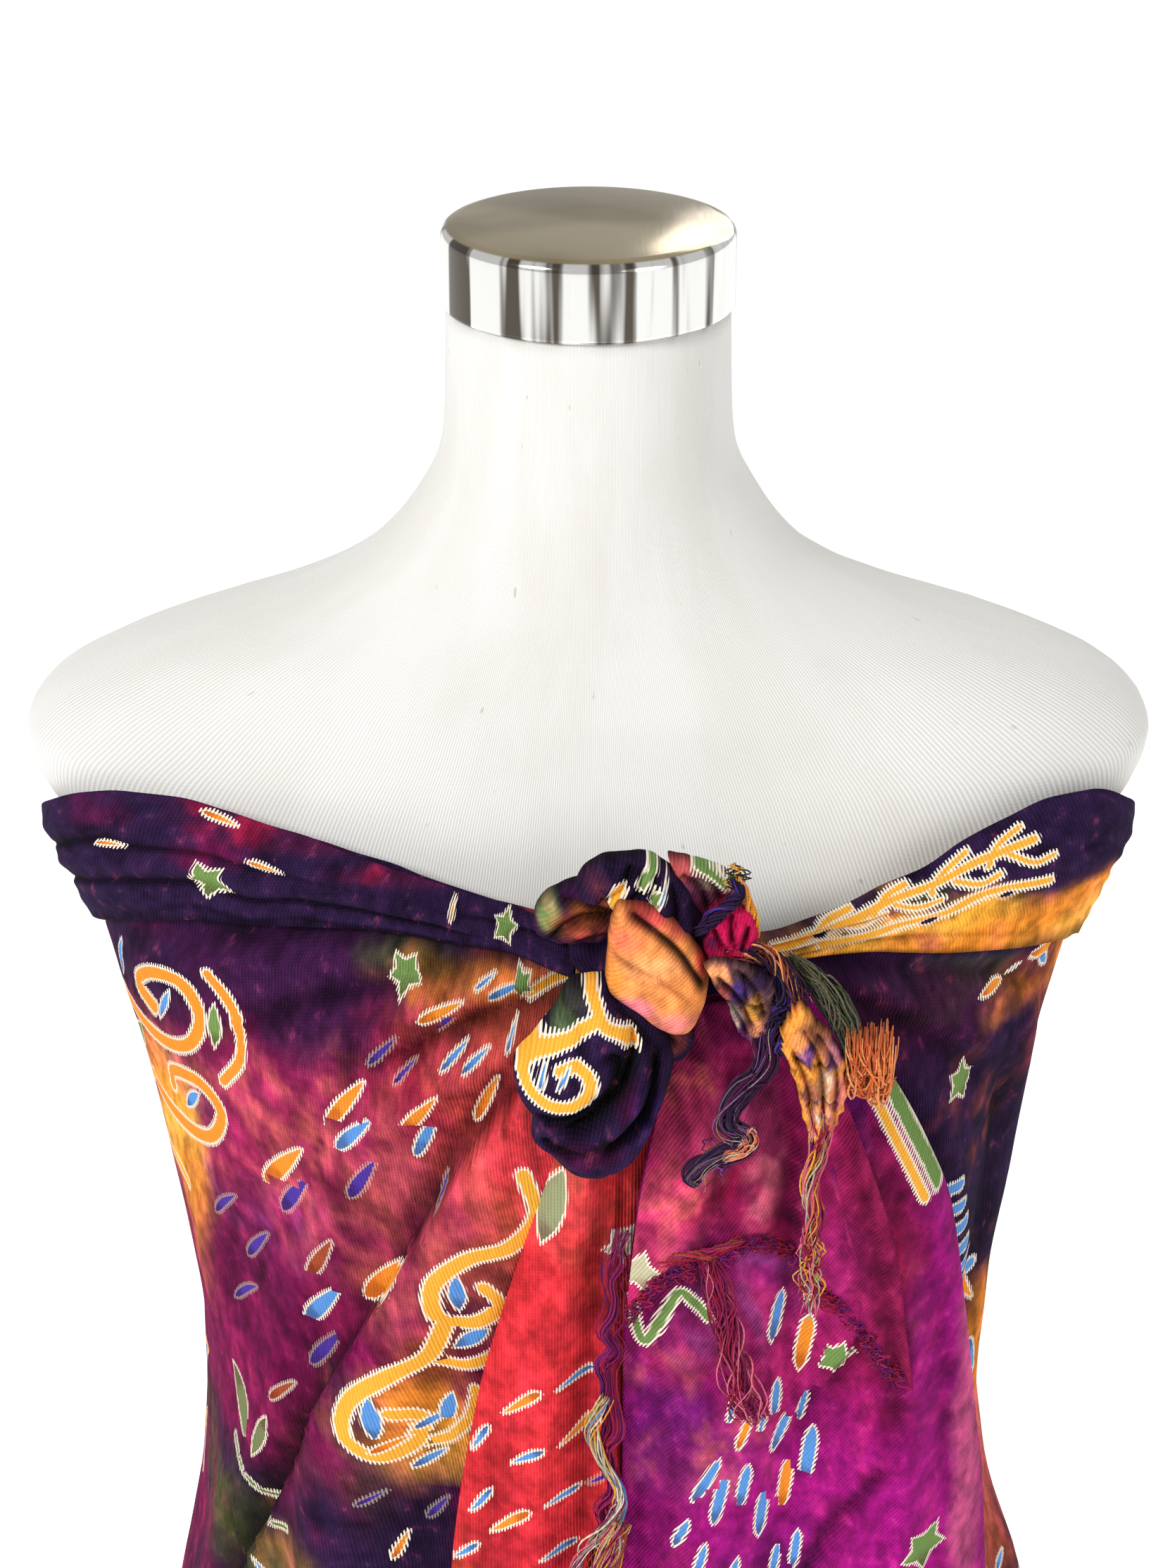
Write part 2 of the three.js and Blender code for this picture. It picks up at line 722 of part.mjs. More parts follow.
function addPiece(name, geometry, material) {
  const mesh = new THREE.Mesh(geometry, new THREE.MeshStandardMaterial(MATERIALS[material]));
  mesh.name = name;
  part.add(mesh);
}

const grown = (shape) => roll(shape, SEAM_GAP);
const grownCore = knotCore(SEAM_GAP);
const knotPieces = [grownCore, grown(CROWN), grown(CROSS_BAND), grown(LOOP), grown(BUD)];
const overTails = [grownCore, grown(CROSS_BAND), grown(CROWN), grown(BUD)];
const tails = [grown(CURL), grown(LONG), grown(TASSEL)];

addPiece("form_torso", formTorso(), "formCover");
addPiece("neck_cap", neckCap(), "chrome");
addPiece("form_pole", formPole(), "chrome");
addPiece("form_base", formBase(), "chrome");

addPiece("wrap_left", wrapWall(-1, 34), "violetCloth");
addPiece("wrap_right", wrapWall(1, 30), "nightCloth");
addPiece("top_band_left", cutBy(bandWall(-1), ...knotPieces), "nightCloth");
addPiece("top_band_right", cutBy(bandWall(1), ...knotPieces), "nightCloth");
addPiece("fall_left", cutBy(fallWall(FALL_LEFT, 15), ...knotPieces), "redCloth");
addPiece("fall_right", cutBy(fallWall(FALL_RIGHT, 19), ...knotPieces, ...tails), "magentaCloth");
addPiece("fall_flap", cutBy(flapWall(), ...knotPieces, ...tails), "magentaCloth");

addPiece("knot_core", knotCore(), "nightCloth");
addPiece("knot_crown", cutBy(roll(CROWN), grownCore), "nightCloth");
addPiece("knot_band", cutBy(roll(CROSS_BAND), grownCore, grown(CROWN)), "apricotCloth");
addPiece("knot_loop", cutBy(roll(LOOP), grownCore, grown(CROSS_BAND), grown(CROWN)), "nightCloth");
addPiece("knot_bud", cutBy(roll(BUD), grownCore, grown(CROWN), grown(CROSS_BAND)), "magentaCloth");
const curl = withLocks(roll(CURL), endLocks(CURL, 3, 12, 4, 0.9));
const long = withLocks(roll(LONG), endLocks(LONG, 5, 40, 5, 0.9));
const tassel = withLocks(roll(TASSEL), endLocks(TASSEL, 7, 22, 7, 1.6));
addPiece("tail_curl", cutBy(curl, ...overTails), "yarn");
addPiece("tail_long", cutBy(long, ...overTails, tails[0]), "yarn");
addPiece("tail_tassel", cutBy(tassel, ...overTails, tails[0], tails[1]), "yarn");
addPiece("end_fringe", endFringe(), "yarn");

export default part;
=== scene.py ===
"""The knotted sarong on its dress form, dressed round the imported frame.

Lengths in the tables are millimetres in the frame's axes: +Z up, the front towards -Y. Angles
round the form are degrees from the front, + to its +X side.
"""
import math

import bpy
import numpy as np
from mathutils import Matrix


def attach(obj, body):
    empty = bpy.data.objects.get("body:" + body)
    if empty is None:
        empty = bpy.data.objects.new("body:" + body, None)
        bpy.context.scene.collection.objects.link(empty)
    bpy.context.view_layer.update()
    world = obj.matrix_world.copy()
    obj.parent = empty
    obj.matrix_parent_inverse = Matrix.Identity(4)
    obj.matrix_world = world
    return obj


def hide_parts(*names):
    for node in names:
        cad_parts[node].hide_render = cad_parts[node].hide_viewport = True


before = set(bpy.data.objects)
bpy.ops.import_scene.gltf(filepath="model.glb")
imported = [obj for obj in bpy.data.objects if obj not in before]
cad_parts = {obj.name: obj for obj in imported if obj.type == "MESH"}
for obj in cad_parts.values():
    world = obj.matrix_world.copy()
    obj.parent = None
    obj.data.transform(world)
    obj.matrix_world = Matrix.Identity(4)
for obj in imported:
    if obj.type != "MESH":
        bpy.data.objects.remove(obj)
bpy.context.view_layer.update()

MM = 0.001
HEM = 230.0
NECK_TOP = 1531.7
THREAD, PICK = 1.22, 1.15  # spacing of the cloth's ribs, and of the stitches along one
LATTICE = 61  # noise repeats after so many lumps
FAR = 40.0  # further from a drawn line than any of its ink
BACK = 180 - 0.02  # the two sides meet here


# ---------------------------------------------------------------- tables
DYES = {}


def word(text):
    """A dye by its name, else a number, else the word itself."""
    if text in DYES:
        return DYES[text]
    try:
        return float(text)
    except ValueError:
        return text


def read(table):
    """The rows of a text table, parted by commas. Rows that are read already are passed on."""
    if not isinstance(table, str):
        return table
    return [[word(text) for text in row.split()] for row in table.split(",")]


def drawn(table):
    """Drawn lines, parted by semicolons: words that say what each is, a colon and its places."""
    if not isinstance(table, str):
        return table
    parts = [row.split(":") for row in table.split(";")]
    return [(read(head)[0], read(places)) for head, places in parts]


class Table:
    """Named columns over a rising key, read on monotone cubics."""

    def __init__(self, columns, table):
        names = columns.split()
        values = np.array(read(table), float)
        order = np.argsort(values[:, 0], kind="stable")
        self.keys = values[order, 0]
        self.columns = {n: values[order, i] for i, n in enumerate(names)}

    def __call__(self, name, at):
        xs, ys = self.keys, self.columns[name]
        at = np.clip(np.asarray(at, float), xs[0], xs[-1])
        step = np.diff(xs)
        secant = np.diff(ys) / step
        slope = np.empty_like(ys)
        slope[0], slope[-1] = secant[0], secant[-1]
        a, b = secant[:-1], secant[1:]
        same = a * b > 0
        slope[1:-1] = np.where(same, 2 * a * b / np.where(same, a + b, 1), 0)
        i = np.clip(np.searchsorted(xs, at, side="right") - 1, 0, len(xs) - 2)
        t = (at - xs[i]) / step[i]
        return (
            ys[i] * (1 + 2 * t) * (1 - t) ** 2
            + slope[i] * step[i] * t * (1 - t) ** 2
            + ys[i + 1] * t * t * (3 - 2 * t)
            - slope[i + 1] * step[i] * t * t * (1 - t)
        )


FORM = Table("z halfWidth front back power", f"""
    846 142 84 92 2.3, 856 156 96 104 2.3, 930 166 107 114 2.3, 1000 154 103 105 2.3,
    1060 134 97 90 2.3, 1125 118 92 76 2.3, 1165 124 96 78 2.3, 1210 139 104 82 2.3,
    1250 148 114 88 2.4, 1290 162 118 91 2.5, 1320 169 112 90 2.6, 1340 180 100 87 2.7,
    1354 194 93 84 2.7, 1366 202 88 82 2.7, 1378 205 82 79 2.7, 1386 200 77 74 2.6,
    1393.5 191 73 70 2.5, 1401.5 175 69 66 2.4, 1409 157 64 62 2.4, 1415.5 136 61 59 2.3,
    1422 116 58 57 2.2, 1432.5 92 55 54 2.1, 1442.5 77 52 52 2.1, 1459 63 50.5 51 2,
    1485 51 49.5 49.5 2, {NECK_TOP} 49.5 49 49 2""")
BUST = dict(x=76, z=1284, height=10, spread=42)

CLOTH = Table("z halfWidth front back power", f"""
    {HEM} 211 174 155 2.3, 500 199 160 143 2.3, 700 190 150 135 2.3, 860 184 144 130 2.3,
    979 166 140 121 2.4, 1041 155 138 111 2.4, 1120 152.5 137 101 2.4, 1165 155.5 137 99 2.4,
    1210 161 138 99 2.4, 1250 167 139 101 2.4, 1290 175.5 136 102 2.5, 1320 182 126 101 2.6,
    1336 187 117 98.5 2.7, 1350 194.5 108 96 2.8, 1366 198 101 93 2.9, 1385 203 92 88 2.9""")
TOP_EDGE = Table("angle left_z right_z left right", """
    0 1352 1347 12 9, 18 1356 1345 15 8, 27 1361 1345 17.5 9, 35 1366 1349 21 12,
    40 1369.5 1353 25 16, 44 1373 1357.5 29 22, 49 1376 1362 33 29, 54 1379.5 1369.5 38 39,
    59 1382 1375 45 48, 64 1381 1379 49 56, 68 1377 1378 51 59, 74 1366 1367 48 56,
    81 1353 1353 44 48, 92 1341 1341 42 44, 130 1331 1331 42 42, 180 1330 1330 42 42""")
BAND = dict(lift=4.2, bulge=3.4, knot_lift=20, knot_reach=9)
LEVELS = (HEM, 930, 1120, 1290)
# Folds: ridge angle at bust, waist, hip and hem, its height there, its reach out and in.
LEFT_FOLDS = read("""
    9 36 42 45 6 15 17 22 4.5 11, 22 50 58 60 2 2 6 13 7 6, 60 74 76 78 0 -2 3 14 8 8,
    84 92 95 97 0 2 5 15 8 8, 112 112 114 116 0 3 4 14 9 8, 138 136 136 136 0 3 5 16 8 9,
    162 159 158 157 0 3 5 15 8 8""")
RIGHT_FOLDS = read("""
    34 60 66 68 2 1 7 14 7 8, 66 74 76 78 0 0.5 6 13 7 8, 88 92 92 95 0 2 19 20 10 8,
    114 115 117 119 0 3 4 14 9 8, 139 139 140 141 0 3 5 16 8 8, 163 162 162 162 0 2 4 13 8 8""")
HEM_RISE = Table("angle rise", "0 90, 25 74, 60 30, 95 10, 180 0")
TUCKED = {
    -1: Table("z x", f"{HEM} 40, 700 36, 1095 28, 1200 14, 1300 2, 1355 2"),
    1: Table("z x", f"{HEM} 92, 900 84, 1095 72, 1200 56, 1300 40, 1355 34"),
}
FALL = Table("z halfWidth front power", f"""
    {HEM} 252 190 2.4, 500 236 173 2.4, 700 224 161 2.4, 930 212 152 2.4, 1120 186 148 2.4,
    1250 196 149 2.4, 1300 204 145 2.4, 1350 214 138 2.4""")
FALL_LEFT = dict(
    edges=Table("z left right", f"""
    {HEM} -70 78, 480 -64 70, 800 -58 66, 1000 -54 64, 1095 -50 60, 1176 -39 50, 1217 -29 41,
    1254 -18 32, 1300 -5 26, 1330 4 28"""),
    profile="0.02 -4, 0 -1, 0.05 3, 0.16 7, 0.3 8, 0.42 3, 0.52 4, 0.62 -2, 0.8 -3, 1 -3",
    top=Table("share z", "0 1322, 1 1326"),
    hem=Table("share z", "0 336, 0.3 352, 1 462"),
)
FALL_RIGHT = dict(
    edges=Table("z left right", f"""
    {HEM} 0 182, 480 3 173, 800 6 162, 1000 7 154, 1099 8 148, 1152 12 141, 1201 12 134,
    1248 15 126, 1273 18 117, 1298 23 105, 1328 31 84, 1345 34 62"""),
    profile="""
    0 7, 0.08 9, 0.2 13, 0.33 12, 0.45 6, 0.56 10, 0.7 18, 0.84 20, 0.94 15, 1 6, 0.99 -3,
    0.955 -8""",
    top=Table("share z", "0 1336, 1 1342"),
    hem=Table("share z", "0 486, 0.5 420, 1 330"),
)
FLAP_EDGE = Table("share z", "0 1222, 0.25 1244, 0.5 1252, 0.75 1232, 1 1190")

KNOT = np.array((18.0, -134.0, 1354.0))


# ---------------------------------------------------------------- small mathematics
def smooth(edge0, edge1, x):
    t = np.clip((np.asarray(x, float) - edge0) / (edge1 - edge0), 0, 1)
    return t * t * (3 - 2 * t)


def mix(a, b, t):
    return a + (b - a) * t


def noise(seed, x, y):
    """Smooth noise from about -1 to 1 over two coordinates, one lump to a unit."""
    lattice = np.random.default_rng(seed).uniform(-1, 1, (LATTICE, LATTICE))
    x, y = np.broadcast_arrays(np.asarray(x, float), np.asarray(y, float))
    i, j = np.floor(x).astype(int), np.floor(y).astype(int)
    fx, fy = smooth(0, 1, x - i), smooth(0, 1, y - j)
    pick = lambda a, b: lattice[(i + a) % LATTICE, (j + b) % LATTICE]
    low = mix(pick(0, 0), pick(1, 0), fx)
    high = mix(pick(0, 1), pick(1, 1), fx)
    return mix(low, high, fy)


def fractal(seed, x, y, octaves=3):
    total, size = 0, 1.0
    for k in range(octaves):
        total = total + size * noise(seed + k, x * 2 ** k, y * 2 ** k)
        size *= 0.5
    return total


def spline(points, count):
    """Points on a Catmull-Rom curve through the rows, evenly by row."""
    p = np.asarray(read(points), float)
    p = np.vstack([2 * p[0] - p[1], p, 2 * p[-1] - p[-2]])
    t = np.linspace(0, len(p) - 3, count)
    i = np.minimum(t.astype(int), len(p) - 4)
    f = (t - i)[:, None]
    a, b, c, d = p[i], p[i + 1], p[i + 2], p[i + 3]
    return 0.5 * (2 * b + (c - a) * f + (2 * a - 5 * b + 4 * c - d) * f ** 2
                  + (3 * b - a - 3 * c + d) * f ** 3)


def ring(table, degrees, z, lift):
    """Points of the level sections at z, lifted off them."""
    sine, cosine = np.sin(np.radians(degrees)), np.cos(np.radians(degrees))
    depth = np.where(cosine > 0, table("front", z), table("back", z)) + lift
    width = table("halfWidth", z) + lift
    power = table("power", z)
    radius = (np.abs(sine / width) ** power + np.abs(cosine / depth) ** power) ** (-1 / power)
    return np.stack([radius * sine, -radius * cosine, np.broadcast_to(z, radius.shape)], -1)


def front_depth(table, x, z):
    share = np.minimum(np.abs(x / table("halfWidth", z)), 0.999)
    power = table("power", z)
    return table("front", z) * (1 - share ** power) ** (1 / power)


def along_curve(x, z, points):
    """Distance from a drawn line, its side (+ to the right of one drawn down) and how far along."""
    curve = spline(points, 5 * len(points))
    low, high = curve.min(0) - 45, curve.max(0) + 45
    near = (x > low[0]) & (x < high[0]) & (z > low[1]) & (z < high[1])
    px, pz = x[near], z[near]
    best, side, share = np.full(px.shape, 1e3), np.zeros(px.shape), np.zeros(px.shape)
    for k, ((ax, az), (bx, bz)) in enumerate(zip(curve[:-1], curve[1:])):
        dx, dz = bx - ax, bz - az
        t = np.clip(((px - ax) * dx + (pz - az) * dz) / max(dx * dx + dz * dz, 1e-9), 0, 1)
        ox, oz = px - ax - t * dx, pz - az - t * dz
        away = np.hypot(ox, oz)
        closer = away < best
        best = np.where(closer, away, best)
        side = np.where(closer, dx * oz - dz * ox, side)
        share = np.where(closer, (k + t) / (len(curve) - 1), share)
    out = [np.full(x.shape, 1e3), np.zeros(x.shape), np.zeros(x.shape)]
    for full, value in zip(out, (best, side, share)):
        full[near] = value
    return out


def drawn_relief(x, z, lines):
    """Height and light of drawn folds.

    A line is ridge, valley or lap with its height and width, the shade of a valley or a lap, the
    reach of a lap, and x z places from the top down. The light is painted shade: it darkens the
    cloth's colour along valleys and beside laps.
    """
    relief, light = np.zeros(x.shape), np.ones(x.shape)
    for (kind, height, width, *more), points in drawn(lines):
        away, side, share = along_curve(x, z, points)
        taper = smooth(0, 0.14, share) * smooth(1, 0.84, share)
        if kind == "ridge":
            bump, dark = np.exp(-((away / width) ** 2)), 0
        elif kind == "valley":
            bump, dark = -np.exp(-away / width), np.exp(-((away / (1.3 * width)) ** 2))
        else:
            over = side > 0
            bump = np.where(over, np.exp(-away / more[1]) * smooth(0, width, away),
                            -0.3 * np.exp(-away / width))
            dark = np.where(over, np.exp(-((away / (0.4 * width)) ** 2)),
                            np.exp(-away / (2.4 * width)))
        relief += 1.25 * height * taper * bump
        # painted shade: the colour is darkened along valleys and laps
        light *= 1 - (more[0] if more else 0) * taper * dark
    return relief, light


# ---------------------------------------------------------------- colour
def srgb(*rgb):
    c = np.array(rgb, float) / 255
    return np.where(c <= 0.04045, c / 12.92, ((c + 0.055) / 1.055) ** 2.4)


DYES.update((name, srgb(*rgb)) for name, *rgb in read("""
    night 40 24 58, dusk 56 22 62, plum 72 16 58, wine 118 14 72, rose 166 32 92,
    crimson 160 18 56, violet 106 20 108, magenta 144 18 108, fuchsia 160 18 122,
    salmon 228 104 98, pink 232 120 142, red 206 48 60, scarlet 214 48 56, coral 236 92 84,
    lilac 164 88 166, orange 238 142 46, amber 246 174 60, rust 160 74 46, apricot 250 162 104,
    moss 72 82 38, sage 112 142 78, sky 90 146 214, indigo 76 52 150, pale 196 190 156,
    cream 238 226 206, olive 118 124 84, lichen 150 156 118, peach 255 168 104, cerise 222 40 92,
    mauve 128 60 84, tangerine 252 154 84, ruby 204 22 84, umber 96 66 72, ochre 236 152 62,
    grape 66 44 78, heather 112 88 108, slate 70 60 80, khaki 116 114 86, drab 104 104 84,
    peat 70 70 60, clay 232 122 62, terracotta 238 140 78, brick 214 96 50, shell 240 158 104"""))
RAMP = np.array(read("night plum violet magenta red rust amber night violet fuchsia")[0])


def dyed(x, z, u, v, pools, ground, front, seed, light, mottled=1.0):
    """Tie-dye colour at each point: pools of dye over a ground that drifts through the ramp,
    darkened by the painted fold shade carried in light.

    A pool is x, z, reach across, reach up, dye, strength and how far it breaks into flecks.
    """
    drift = 0.5 + 0.5 * np.tanh(1.3 * fractal(seed, u / 210, v / 240))
    place = drift * (len(RAMP) - 1.001)
    i = place.astype(int)
    colour = mix(RAMP[i], RAMP[i + 1], smooth(0.05, 0.95, place - i)[..., None])
    front = np.broadcast_to(front, x.shape)[..., None]
    colour = mix(colour, np.broadcast_to(DYES[ground], colour.shape), front)
    su, sv = u + 9 * noise(seed + 1, u / 26, v / 26), v + 9 * noise(seed + 2, u / 26, v / 26)
    for k, (px, pz, rx, rz, dye, strength, *grain) in enumerate(read(pools)):
        ragged = 0.34 * fractal(seed + 31 + 3 * k, su / 15, sv / 18, 4)
        away = np.hypot((x - px) / rx, (z - pz) / rz) + ragged
        share = smooth(1.3, 0.45, away)
        if grain:
            flecks = smooth(-0.15, 0.75, fractal(seed + 63 + k, su / 8, sv / 10, 3))
            share = share * mix(1, flecks, grain[0])
        share = share[..., None] * strength * front
        colour = mix(colour, np.broadcast_to(dye, colour.shape), share)
    feather = fractal(seed + 5, su / 7, sv / 11, 4)
    deep = smooth(0.1, 1.1, -feather)[..., None] * 0.52 * mottled
    pale = smooth(0.25, 1.1, feather)[..., None] * 0.50 * mottled
    lively = colour.max(-1, keepdims=True)
    flecked = colour * 1.25 + np.array((0.34, 0.022, 0.07)) * smooth(0.02, 0.25, lively)
    colour = mix(colour, flecked, pale)
    colour = colour * (1 - deep)
    # painted shade: the dye is darkened by the folds' light
    return np.clip(colour * (light ** 1.35)[..., None], 0.003, 1)


# ---------------------------------------------------------------- materials
class Tree:
    """A material's node tree, written as arithmetic."""

    def __init__(self, name):
        self.material = bpy.data.materials.new(name)
        self.material.use_nodes = True
        self.nodes = self.material.node_tree.nodes
        self.links = self.material.node_tree.links
        self.shader = self.nodes["Principled BSDF"]

    def node(self, kind, **settings):
        made = self.nodes.new("ShaderNode" + kind)
        for key, value in settings.items():
            setattr(made, key, value)
        return made

    def put(self, socket, value):
        if isinstance(value, Number):
            value = value.out
        if isinstance(value, bpy.types.NodeSocket):
            self.links.new(value, socket)
        elif hasattr(value, "__len__") and len(socket.default_value) == 4 and len(value) == 3:
            socket.default_value = (*value, 1)
        else:
            socket.default_value = value

    def attribute(self, name):
        return self.node("Attribute", attribute_name=name)

    def split(self, vector):
        made = self.node("SeparateXYZ")
        self.put(made.inputs[0], vector)
        return [Number(self, out) for out in made.outputs]

    def join(self, x, y, z=0.0):
        made = self.node("CombineXYZ")
        for socket, value in zip(made.inputs, (x, y, z)):
            self.put(socket, value)
        return made.outputs[0]

    def noise(self, vector, scale=1.0, detail=2.0, rough=0.5, colour=False):
        made = self.node("TexNoise")
        self.put(made.inputs["Vector"], vector)
        made.inputs["Scale"].default_value = scale
        made.inputs["Detail"].default_value = detail
        made.inputs["Roughness"].default_value = rough
        return made.outputs["Color"] if colour else Number(self, made.outputs[0])

    def blend(self, a, b, share, kind="MIX"):
        made = self.node("Mix", data_type="RGBA", blend_type=kind)
        self.put(made.inputs[0], share)
        self.put(made.inputs[6], a)
        self.put(made.inputs[7], b)
        return made.outputs[2]

    def shaded(self, colour, shade):
        """A colour times a grey."""
        grey = self.node("CombineColor")
        for socket in grey.inputs:
            self.put(socket, shade)
        return self.blend(colour, grey.outputs[0], 1.0, "MULTIPLY")

    def bump(self, height, strength, distance):
        made = self.node("Bump")
        made.inputs["Strength"].default_value = strength
        made.inputs["Distance"].default_value = distance
        self.put(made.inputs["Height"], height)
        self.links.new(made.outputs[0], self.shader.inputs["Normal"])

    def set(self, **values):
        for key, value in values.items():
            self.put(self.shader.inputs[key.replace("_", " ")], value)


class Number:
    """One number of a node tree."""

    def __init__(self, tree, out):
        self.tree, self.out = tree, out

    def do(self, operation, *others, first=None):
        made = self.tree.node("Math", operation=operation)
        for socket, value in zip(made.inputs, (self if first is None else first, *others)):
            self.tree.put(socket, value)
        return Number(self.tree, made.outputs[0])

    __add__ = __radd__ = lambda self, other: self.do("ADD", other)
    __mul__ = __rmul__ = lambda self, other: self.do("MULTIPLY", other)
    __sub__ = lambda self, other: self.do("SUBTRACT", other)
    __rsub__ = lambda self, other: self.do("SUBTRACT", self, first=other)
    __truediv__ = lambda self, other: self.do("DIVIDE", other)
    __rtruediv__ = lambda self, other: self.do("DIVIDE", self, first=other)
    __pow__ = lambda self, other: self.do("POWER", other)
    __abs__ = lambda self: self.do("ABSOLUTE")
    __neg__ = lambda self: self.do("MULTIPLY", -1.0)

    def most(self, other):
        return self.do("MAXIMUM", other)

    def least(self, other):
        return self.do("MINIMUM", other)

    def floor(self):
        return self.do("FLOOR")

    def sin(self):
        return self.do("SINE")

    def root(self):
        return self.most(0.0).do("SQRT")

    def ramp(self, low, high):
        """0 at low and 1 at high, smooth between, whichever of them is the larger."""
        made = self.tree.node("MapRange", interpolation_type="SMOOTHSTEP")
        flip = low > high
        for key, value in (("Value", self), ("From Min", min(low, high)),
                           ("From Max", max(low, high)), ("To Min", float(flip)),
                           ("To Max", float(not flip))):
            self.tree.put(made.inputs[key], value)
        return Number(self.tree, made.outputs[0])


def printed_cloth():
    """Tie-dyed rayon with a ribbed weave, printed so that every other thread of an edge stays
    white. The mesh carries the dye with its painted fold shade, the drawn lines and the motifs.
    Painted shade lies between the ribs, and a faint painted sheen lies on the threads."""
    t = Tree("sarong_print")
    u, v, bias = t.split(t.attribute("cloth").outputs["Vector"])
    sine, cosine = bias.sin(), bias.do("COSINE")
    across, along = u * cosine + v * sine, v * cosine - u * sine
    sway = t.noise(t.join(across * 0.03, along * 0.03), 1.0, 1.0, 0.5) * 1.6
    thread = ((across + sway) / THREAD).floor()
    white = t.node("TexWhiteNoise", noise_dimensions="1D")
    t.put(white.inputs["W"], thread)
    uneven = Number(t, white.outputs["Value"])
    comb = (((across + sway) * (2 * math.pi / THREAD)).sin() * 1.6 + 0.5).most(0.0).least(1.0)
    tooth = comb * (uneven * 0.5 + 0.7)

    # the dye attribute already holds the painted fold shade
    dye = t.attribute("dye").outputs["Color"]
    fine = t.noise(t.join(u * 0.16, v * 0.12), 1.0, 5.0, 0.62)
    mottle = fine.ramp(0.28, 0.74) * 0.80 + 0.62
    dye = t.shaded(dye, mottle)
    dye = t.blend(dye, (0.80, 0.11, 0.18), fine.ramp(0.58, 0.78) * 0.22)

    # drawn lines: the two nearest straight pieces, each as where it starts and ends from here
    near = None
    for start, end in (("seg_a", "seg_b"), ("seg_c", "seg_d")):
        ax, ay, half = t.split(t.attribute(start).outputs["Vector"])
        bx, by, _ = t.split(t.attribute(end).outputs["Vector"])
        dx, dy = bx - ax, by - ay
        share = ((-(ax * dx + ay * dy)) / ((dx * dx + dy * dy) + 1e-6)).most(0.0).least(1.0)
        ox, oy = ax + dx * share, ay + dy * share
        away = (ox * ox + oy * oy).root() - half
        near = away if near is None else near.least(away)
    stroke = t.attribute("stroke").outputs["Color"]

    def bright(ink):
        """The white of an edge, less beside a dark ink."""
        grey = t.node("RGBToBW")
        t.put(grey.inputs[0], ink)
        return Number(t, grey.outputs[0]).ramp(0.06, 0.20) * 0.72 + 0.28

    colour = t.blend(dye, DYES["cream"], (near - tooth * 1.05).ramp(0.22, -0.05) * bright(stroke))
    colour = t.blend(colour, stroke, (near + tooth * 0.45).ramp(-0.10, -0.40))

    # motifs: place in the motif and its kind, its colour and size, its turn
    du, dv, kind = t.split(t.attribute("motif").outputs["Vector"])
    ink = t.attribute("ink")
    size = Number(t, ink.outputs["Alpha"])
    turn = Number(t, t.attribute("turn").outputs["Fac"])
    sine, cosine = turn.sin(), turn.do("COSINE")
    x = (du * cosine + dv * sine) / size
    y = (dv * cosine - du * sine) / size
    lens = (1.0 - y * y).root()
    drop = (abs(x) - lens * (1.0 - y * 0.42) * 0.175).most(abs(y) - 1.0) * size
    leaf = (abs(x) - (1.0 - y * y) * 0.30).most(abs(y) - 1.0) * size
    bent = x - y * y * 0.42 + 0.16
    curl = (abs(bent) - lens * (1.0 - y * 0.62) * 0.40).most(abs(y) - 1.0) * size
    fifth = 2 * math.pi / 5
    fold = abs(((y.do("ARCTAN2", x) / fifth) + 10.25).do("FRACT") - 0.5) * fifth
    inner = 0.58
    edge = (inner * math.sin(fifth / 2)) / ((fifth / 2 - fold).sin() + fold.sin() * inner)
    star = ((x * x + y * y).root() - edge) * size * 0.8
    pick = lambda code: abs(kind - float(code)).ramp(0.4, 0.3)
    bar = (abs(x) - (1.0 - y * y * y * y) * 0.20).most(abs(y) - 1.0) * size
    shape = (drop * pick(1) + star * pick(2) + leaf * pick(3) + curl * pick(4) + bar * pick(5)
             + pick(0) * 50.0)
    paint = ink.outputs["Color"]
    rim = (shape - tooth * 0.95).ramp(0.22, -0.05)
    colour = t.blend(colour, DYES["cream"], rim * bright(paint))
    faded = (fine * 1.3 - y).ramp(0.75, 1.35) * 0.75
    inked = t.blend(paint, (0.52, 0.30, 0.34), faded, "MULTIPLY")
    colour = t.blend(colour, inked, (shape + tooth * 0.35).ramp(-0.05, -0.35))
    heart = pick(4)
    colour = t.blend(colour, DYES["cream"], (shape + tooth * 0.5).ramp(-2.1, -2.5) * heart)
    colour = t.blend(colour, DYES["plum"], (shape + tooth * 0.5).ramp(-2.9, -3.3) * heart)
    colour = t.blend(colour, DYES["sky"], (shape + tooth * 0.8).ramp(-4.0, -4.6) * heart)

    rib = ((across + sway) * (2 * math.pi / THREAD)).sin() * 0.5 + 0.5
    stitch = (along * (2 * math.pi / PICK) + thread * 2.4).sin() * 0.5 + 0.5
    slub = t.noise(t.join(across * 1.1, along * 0.10), 1.0, 2.0, 0.5)
    crepe = t.noise(t.join(across * 0.40, along * 0.12), 1.0, 3.0, 0.6)
    # painted shade between the ribs and stitches, with random slub tone
    shade = rib * (stitch * 0.20 + 0.16) + slub * 0.30 + 0.72
    colour = t.shaded(colour, shade)
    # painted sheen on the tops of the threads
    colour = t.blend(colour, (0.60, 0.30, 0.48), rib * stitch * 0.015)
    t.set(Base_Color=colour, Roughness=0.9, Specular_IOR_Level=0.04, Sheen_Weight=0.01,
          Sheen_Roughness=0.5)
    t.bump(rib * 0.5 + stitch * 0.1 + slub * 0.6 + crepe * 1.8, 0.6, 0.0007)
    return t.material


